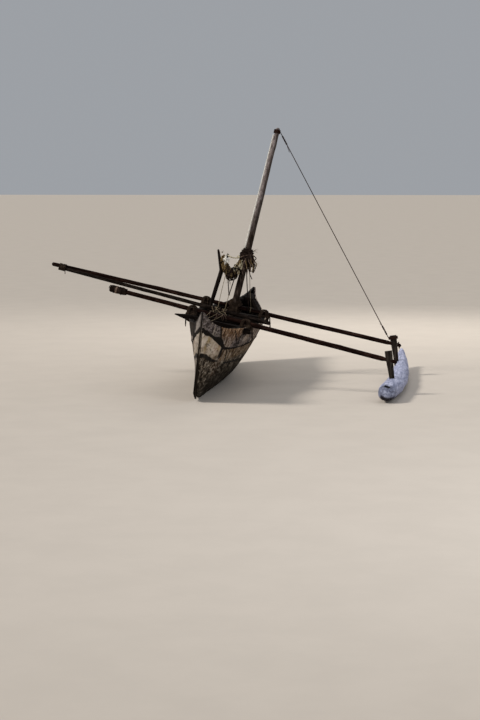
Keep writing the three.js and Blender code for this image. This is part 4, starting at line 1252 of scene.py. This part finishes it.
chance = random.Random("mast turns")
pink = []
dark.append((windings(wrapAt, wrapRadius, wrapPlan["turns"], chance, 0.003), False))
for k in range(wrapPlan["slanted"]):
    # turns that cross each other at odd angles
    share = chance.uniform(0.12, 0.80)
    at, side, other = wrapAt(share)
    turn = chance.uniform(0, math.pi)
    wide = side * math.cos(turn) + other * math.sin(turn)
    high = other * math.cos(turn) - side * math.sin(turn)
    wide = wide + mastAxis * chance.uniform(-0.75, 0.75)
    reach = wrapRadius(share) + chance.uniform(0.003, 0.008)
    (pink if k % 7 == 0 else dark).append((loop(at, wide, high, reach, reach, chance, 0, 14, 0.003), True))
for k in range(wrapPlan["hanging"]):
    # strands that hang down over the turns, fore and to port
    turn = chance.uniform(-0.4, 1.6)
    share = chance.uniform(0.35, 0.9)
    at = wrapAt(share)[0]
    out = (axisX * math.cos(turn) + axisY * math.sin(turn)).normalized()
    reach = wrapRadius(share) + 0.007
    fall = chance.uniform(0.08, 0.19)
    sway = axisY * chance.uniform(-0.03, 0.03)
    path = [
        at + out * (reach - 0.006) + axisZ * 0.01, at + out * (reach + 0.004) - axisZ * fall * 0.25,
        at + out * (reach + 0.006) - axisZ * fall * 0.6 + sway, at + out * reach - axisZ * fall + sway * 0.6,
    ]
    (pink, dark, pink, dark, brown)[k % 5].append((path, False))
for k in range(wrapPlan["looseLoops"]):
    # loose loops on the mast's port side
    at = wrapAt(chance.uniform(0.35, 0.7))[0]
    out = axisY * 0.05 + axisX * chance.uniform(-0.02, 0.05)
    wide = chance.uniform(0.011, 0.02)
    path = [
        at + out * 0.9, at + out * 1.4 + axisZ * wide, at + out * 1.5 + axisY * wide * 1.3 - axisZ * 0.01,
        at + out * 1.35 - axisZ * wide * 1.6, at + out * 0.85 - axisZ * wide,
    ]
    (dark if k else pink).append((path, False))
# a loose end to port
looseEnd = [onHull(-88, 62, 1150), onHull(-70, 84, 1112), onHull(-62, 100, 1072), onHull(-60, 128, 1032)]
dark.append((looseEnd, False, lambda share: 1.25 - 0.3 * share))
print("bundle strands:", len(brown) + len(light) + len(dark) + len(pink))


def fray(chance, spot, direction, count, length, spread):
    fibres = []
    for _ in range(count):
        lean = jolt(chance, spread)
        far = chance.uniform(0.5, 1) * length
        way = (Vector(direction) + lean).normalized()
        path = [spot, spot + way * far * 0.5, spot + way * far - axisZ * far * 0.25]
        fibres.append((path, False, lambda share: 1 - 0.75 * share))
    return fibres


frays = [
    # spot, direction, fibres, length, spread
    (mastAt(1300) + axisY * 0.06 + axisX * 0.02, (0.1, 0.8, 0.5), 16, 0.075, 0.7),
    (mastAt(1200) + axisY * 0.065, (0.2, 0.7, -0.6), 16, 0.10, 0.55),
    (mastAt(1330) - axisY * 0.03 + axisX * 0.05, (0.3, -0.3, 0.9), 10, 0.06, 0.7),
    (onHull(4, -104, 1010), (0.2, 0.0, -1), 22, 0.07, 0.6),
    (onHull(-10, -214, 1250), (0.2, -0.3, 0.8), 14, 0.05, 0.8),
]
frayed = []
for row in frays:
    frayed += fray(chance, *row)
ropePiece("bundle_strands", brown, strand, finishes["brown"])
ropePiece("bundle_light_strands", light, strand * 0.92, finishes["light"])
ropePiece("mast_turns", dark, strand, finishes["dark"])
ropePiece("pale_strands", pink, strand * 0.8, finishes["pink"])
ropePiece("frayed_ends", frayed, 0.0014, finishes["brown"], lobes=0, step=0.006)

# A pale rag caught in the crutch
rag = {"at": (58, -158, 1193), "size": 0.011, "folds": 0.024, "tall": 1.5}
mesh = bmesh.new()
bmesh.ops.create_icosphere(mesh, subdivisions=4, radius=rag["size"])
for vert in mesh.verts:
    out = vert.co.normalized()
    ridges = noise.noise(out * 1.7) + 1.1 * abs(noise.noise(out * 3.4 + Vector((3, 1, 7))))
    ridges += 0.35 * noise.noise(out * 9)
    vert.co += out * (ridges * rag["folds"])
    vert.co.z *= rag["tall"]
bmesh.ops.translate(mesh, verts=mesh.verts, vec=onHull(*rag["at"]))
place(mesh, "pale_rag", finishes["whiteRag"], smooth=180)

# Pale cords: one down the mast's starboard edge, whose run up that edge also stands in for the highlight on
# the mast's sunlit side, and a knotted one across to the crutch
halyardAndHighlight = {"top": 2540, "step": 124, "places": 11, "radius": 0.0062, "headRadius": 24, "perHeight": 0.0086}
edgeSide = (axisX * 0.12 - axisY).normalized()
lightPath = []
for k in range(halyardAndHighlight["places"]):
    z = halyardAndHighlight["top"] - halyardAndHighlight["step"] * k
    mastRadius = halyardAndHighlight["headRadius"] + (mastPlan["head"][2] - z) * halyardAndHighlight["perHeight"]
    lightPath.append(mastAt(z) + edgeSide * (mastRadius / 1000 + halyardAndHighlight["radius"]))
lightPath += [onHull(-98, -36, 1240), onHull(-84, -50, 1190), onHull(-70, -60, 1150)]
ropePiece("light_cord", [(lightPath, False)], halyardAndHighlight["radius"], finishes["whiteRag"])
knots = {
    "radius": 0.0048,
    "count": 9,
    "swell": 0.9,
    "path": [(-20, -160, 1236), (0, -120, 1224), (-10, -80, 1222), (-50, -40, 1232), (-92, -66, 1245)],
}


def knotted(share):
    return 1 + knots["swell"] * max(math.sin(share * knots["count"] * 2 * math.pi), 0)


knotRuns = [([onHull(*spot) for spot in knots["path"]], False, knotted)]
ropePiece("knotted_cord", knotRuns, knots["radius"], finishes["light"], lobes=0, step=0.003)

# Thin cords made fast between the bundle, the aft boom and the spar
join = onHull(232, -51, 854)
downs = [
    # start, what it is tied to, y over the ground where it is tied, finish
    (onHull(10, -140, 1075), "spar", 0, "brown"),
    (join, "spar", 75, "brown"),
    (onHull(-70, 44, 1170), "aft", 250, "dark"),
    (onHull(-84, 80, 1150), "aft", 275, "brown"),
]
cordRuns = {"brown": [], "dark": []}
for start in (onHull(14, -124, 1050), onHull(8, -46, 1016)):
    # two cords that join over the spar
    cordRuns["dark"].append(([start, start.lerp(join, 0.5), join], False))
cordRuns["dark"].append((loop(join, axisX, axisY, 0.006, 0.006, chance, 0, 8, 0.001), True))
for top, member, y, shade in downs:
    if member == "spar":
        target, axis, radius = sparPoint(y), sparAxis, sparPlan["radius"]
    else:
        target, axis, radius = boomPoint(member, y), boomAxis(member), boomPlan[member][2] / 1000
    way = (top - target).normalized()
    out = (way - axis * way.dot(axis)).normalized()
    path = [top, top.lerp(target, 0.5) - axisZ * 0.002, target + out * (radius + 0.001)]
    cordRuns[shade].append((path, False))
    cordRuns[shade] += ringsRound(target, axis, radius + 0.0026, 2, 0.0062, chance, 0.0004)
ropePiece("cords_brown", cordRuns["brown"], 0.0030, finishes["tan"])
ropePiece("cords_dark", cordRuns["dark"], 0.0056, finishes["dark"])
print("cords made fast")

# Pale line tangled round the fore boom and the spar
tangle = {
    "from": 20, "to": 200, "turns": 3, "radius": 0.0019, "onSpar": 0.0215, "onBoom": 0.029,
    "crossings": [(-50, 60), (-20, 150), (30, 20), (60, 190), (100, 40)],
}
tangled, turned = [], []
for _ in range(tangle["turns"]):
    y = chance.uniform(tangle["from"], tangle["to"])
    centre = boomPoint("fore", y)
    tilt = (boomAxis("fore") + jolt(chance, 0.5)).normalized()
    side = tilt.cross(axisZ).normalized()
    reach = 0.031 + chance.uniform(0.0, 0.008)
    lowered = centre - axisZ * chance.uniform(0, 0.006)
    turned.append((loop(lowered, side, tilt.cross(side), reach, reach, chance, 0, 10, 0.003), True))
for onSpar, onFore in tangle["crossings"]:
    a = sparPoint(onSpar) + axisZ * tangle["onSpar"]
    b = boomPoint("fore", onFore) + axisZ * tangle["onBoom"]
    sag = axisZ * chance.uniform(0.004, 0.016)
    tangled.append(([a, a.lerp(b, 0.3) - sag, a.lerp(b, 0.7) - sag, b], False))
    turned += ringsRound(sparPoint(onSpar), sparAxis, 0.0225, 1, 0.006, chance, 0.0005)
ropePiece("tangled_line", tangled, tangle["radius"], finishes["tan"])

# Thin lines led forward from the boom to the breasthook, each hanging a little
ledForward = {
    "radius": 0.0020,
    "reach": 0.0312,
    "rows": [
        # y on the fore boom, x and y on the breasthook in the hull's frame, sag
        (28, 2470, -22, 0.003), (96, 2505, 8, 0.005), (150, 2420, 34, 0.008),
    ],
}
led = []
for y, hookX, hookY, sag in ledForward["rows"]:
    centre = boomPoint("fore", y)
    start = centre + (axisX + axisZ).normalized() * ledForward["reach"]
    hook = onHull(hookX, hookY, sheerZ(hullU(hookX, 1)) + 3)
    path = [start]
    path += [start.lerp(hook, t) - axisZ * (sag * 4 * t * (1 - t)) for t in (0.15, 0.35, 0.6, 0.85)]
    led.append((path + [hook], False))
    turned += ringsRound(centre, boomAxis("fore"), ledForward["reach"], 1, 0.006, chance, 0.0005)
ropePiece("led_lines", led, ledForward["radius"], finishes["tan"])
ropePiece("line_turns", turned, tangle["radius"], finishes["pink"])

# Stay: one taut rope from the masthead to the aft post, an eye at each end
stayPlan = {
    "below": 42, "belowPostTop": 26, "postRise": 92, "postLean": math.radians(8),
    "rope": 0.0047, "mastEye": 0.0312, "post": (0.034, 0.020), "eyeGap": 0.0105, "pitch": 0.0098,
    "seizing": {"from": 0.045, "length": 0.10, "reach": 0.0072, "turns": 14},
}
mastEye = mastAt(mastPlan["head"][2] - stayPlan["below"])
postUp = Vector((0, -math.sin(stayPlan["postLean"]), math.cos(stayPlan["postLean"])))
postOut = Vector((0, postUp.z, -postUp.y))
eyeRise = (stayPlan["postRise"] - stayPlan["belowPostTop"]) / 1000
postEye = boomPoint("aft", boomPlan["post"][0]) + postUp * eyeRise
leaving = (postEye - mastEye) - mastAxis * (postEye - mastEye).dot(mastAxis)
leaving.normalize()
chance = random.Random("stay")
stayRuns = ringsRound(mastEye, mastAxis, stayPlan["mastEye"], 4, stayPlan["pitch"], chance)
half = [size + stayPlan["eyeGap"] for size in stayPlan["post"]]
for k in (-1, 0, 1):
    centre = postEye + postUp * (stayPlan["pitch"] * k)
    stayRuns.append((loop(centre, postOut, axisX, *half, chance, 0.8, 16, 0.0006), True))
top = mastEye + leaving * (stayPlan["mastEye"] + 0.004)
bottom = postEye - postOut * (stayPlan["post"][0] + stayPlan["eyeGap"] + 0.002)
stayRuns.append(([top, top.lerp(bottom, 0.33), top.lerp(bottom, 0.66), bottom], False))
along = (bottom - top).normalized()
side = along.cross(axisX).normalized()
seizing = stayPlan["seizing"]
for end, way in ((top, along), (bottom, -along)):
    # the end is seized to the stay, and a short tail hangs from it
    turns = windings(
        lambda share: (end + way * (seizing["from"] + seizing["length"] * share), side, along.cross(side)),
        lambda share: seizing["reach"], seizing["turns"], chance, 0.0004, 0, 8,
    )
    stayRuns.append((turns, False, lambda share: 0.55))
    tail = [end + way * 0.15, end + way * 0.17 + side * 0.006, end + way * 0.20 - axisZ * 0.03]
    stayRuns.append((tail, False, lambda share: 0.6))
ropePiece("taut_stay", stayRuns, stayPlan["rope"], finishes["stay"], ["stay"])
print("stay set up")

# Marks on the planking: tarred seams, plank ends, cracks and fastenings
marks = {
    "tarRadius": 0.0062,
    "tarTones": ((0.006, 0.005, 0.004), (0.014, 0.011, 0.009), (0.035, 0.028, 0.024)),
    "nailTones": ((0.02, 0.010, 0.006), (0.055, 0.027, 0.015), (0.11, 0.06, 0.035)),
    "crackRadius": 0.004,
    "sunk": -0.0032,
    "seamStep": 60,
    "cracks": [
        # x and z at each end, radius
        (1700, 655, 1400, 480, 0.0030), (1443, 655, 1357, 486, 0.0030), (1240, 622, 1010, 594, 0.0042),
        (1780, 444, 1600, 300, 0.0028), (640, 600, 560, 470, 0.0026), (-300, 610, -420, 500, 0.0026),
    ],
    "starboardShift": 85,
    "nailEvery": 96,
    "nailRadius": 0.0042,
    "buttTop": 640,
}


def onSkin(x, z, side, out):
    u, v = surfaceAt(x, z)
    at = onHull(x, side * (hullY(u, v) + out * 1000), z)
    return at + drift(at)


def lumpy(chance, low, high):
    # a bead that swells and thins along its length
    steps = [chance.uniform(low, high) for _ in range(40)]
    return lambda share: tableAt(steps, share)


def taper(thickest):
    return lambda share: thickest * (1 - 0.7 * abs(2 * share - 1) ** 3)


def buttPath(name, side, heights):
    x, z, lean = butts[name]
    return [onSkin(x + (height - z) * lean, height, side, marks["sunk"]) for height in heights]


chance = random.Random("marks")
tarRuns, crackRuns = [], []
for side in (1, -1):
    points = []
    x = -1700
    while x < 2560:
        points.append(onSkin(x, seamHeight(x), side, marks["sunk"]))
        x += marks["seamStep"]
    tarRuns.append((points, False, lumpy(chance, 0.75, 1.35)))
    for name in butts:
        bottom = seamHeight(butts[name][0])
        heights = [bottom + (marks["buttTop"] - bottom) * k / 6 for k in range(7)]
        tarRuns.append((buttPath(name, side, heights), False, lumpy(chance, 0.5, 0.9)))
    tarRuns.append((buttPath("fore", side, (490, 450, 410, 360)), False, lumpy(chance, 0.4, 0.9)))
    for xa, za, xb, zb, radius in marks["cracks"]:
        shift = 0 if side > 0 else marks["starboardShift"]
        path = []
        for share in (0, 0.2, 0.4, 0.6, 0.8, 1):
            z = za + (zb - za) * share + chance.uniform(-5, 5)
            path.append(onSkin(xa + (xb - xa) * share + shift, z, side, -radius * 0.55))
        crackRuns.append((path, False, taper(radius / marks["crackRadius"])))
finishes["tar"] = timber("tarBead", *marks["tarTones"], grain=(8, 8, 8))
ropePiece("tar_seams", tarRuns, marks["tarRadius"], finishes["tar"], lobes=0, step=0.018)
ropePiece("plank_cracks", crackRuns, marks["crackRadius"], finishes["tar"], lobes=0, step=0.014)

nails = bmesh.new()
for side in (1, -1):
    x = -1600
    while x < 2500:
        x += marks["nailEvery"] * chance.uniform(0.8, 1.2)
        for z in (seamHeight(x) + 20, sheerZ(hullU(x, 1)) - 17):
            at = onSkin(x, z + chance.uniform(-4, 4), side, 0.0)
            made = bmesh.ops.create_icosphere(nails, subdivisions=1, radius=marks["nailRadius"])
            bmesh.ops.scale(nails, verts=made["verts"], vec=(1, 0.45, 1))
            bmesh.ops.translate(nails, verts=made["verts"], vec=at)
finishes["nail"] = timber("rustedNail", *marks["nailTones"], grain=(40, 40, 40))
place(nails, "plank_nails", finishes["nail"], smooth=60)
print("planking marked")

# Floor, lights and camera
studio = {
    "floorHalf": 260,
    "floorBelow": 0.004,
    "floorColor": (0.58, 0.52, 0.455),
    "world": (0.80, 0.84, 0.90),
    "worldStrength": 0.42,
    "aim": (0.2, 0.3, 0.5),
    "key": {"from": (3.5, -7.0, 7.5), "angle": 13, "strength": 2.5, "color": (1.0, 0.965, 0.91)},
    "lights": [
        # name, place, size, watts, colour
        ("fill", (8.5, 6.5, 4.5), 5.0, 230, (0.90, 0.94, 1.0)),
        ("back", (-7.5, 2.0, 6.0), 4.5, 270, (1.0, 0.97, 0.93)),
    ],
}


def floorFinish():
    paint = Paint("studioFloor", 0.92)
    here = paint.place()
    grainy = paint.cloud(here, 2.2, 5, 0.6)
    darker = tuple(0.96 * c for c in studio["floorColor"])
    return paint.finish(paint.mix(paint.fade(grainy, 0.3, 0.7), studio["floorColor"], darker))


sheet = bmesh.new()
bmesh.ops.create_grid(sheet, x_segments=1, y_segments=1, size=studio["floorHalf"])
bmesh.ops.translate(sheet, verts=sheet.verts, vec=(0, 0, -studio["floorBelow"]))
floorData = bpy.data.meshes.new("floor")
sheet.to_mesh(floorData)
sheet.free()
floorData.materials.append(floorFinish())
floor = bpy.data.objects.new("floor", floorData)
bpy.context.scene.collection.objects.link(floor)

bpy.context.scene.view_settings.view_transform = "Standard"
world = bpy.data.worlds.new("softSky")
world.use_nodes = True
world.node_tree.nodes["Background"].inputs["Color"].default_value = (*studio["world"], 1)
world.node_tree.nodes["Background"].inputs["Strength"].default_value = studio["worldStrength"]
bpy.context.scene.world = world


def hang(data, spot, color):
    data.color = color
    lamp = bpy.data.objects.new(data.name, data)
    lamp.location = spot
    lamp.rotation_euler = (Vector(studio["aim"]) - Vector(spot)).to_track_quat("-Z", "Y").to_euler()
    bpy.context.scene.collection.objects.link(lamp)


key = bpy.data.lights.new("key", "SUN")
key.angle = math.radians(studio["key"]["angle"])
key.energy = studio["key"]["strength"]
hang(key, studio["key"]["from"], studio["key"]["color"])
for name, spot, size, watts, color in studio["lights"]:
    data = bpy.data.lights.new(name, "AREA")
    data.shape = "DISK"
    data.size = size
    data.energy = watts
    hang(data, spot, color)

view = {"place": (18.499, 2.204, 2.003), "yaw": 6.24, "pitch": -5.634, "lens": 90.3}
yaw, pitch = math.radians(view["yaw"]), math.radians(view["pitch"])
ahead = Vector((-math.cos(yaw) * math.cos(pitch), -math.sin(yaw) * math.cos(pitch), math.sin(pitch)))
right = ahead.cross(axisZ).normalized()
upwards = right.cross(ahead)
cameraData = bpy.data.cameras.new("camera")
cameraData.lens = view["lens"]
cameraData.sensor_width = 36
cameraData.clip_end = 600
camera = bpy.data.objects.new("camera", cameraData)
turned = Matrix((right, upwards, -ahead)).transposed().to_4x4()
camera.matrix_world = Matrix.Translation(Vector(view["place"]) + plan["origin"]) @ turned
bpy.context.scene.collection.objects.link(camera)
bpy.context.scene.camera = camera
print("studio set")
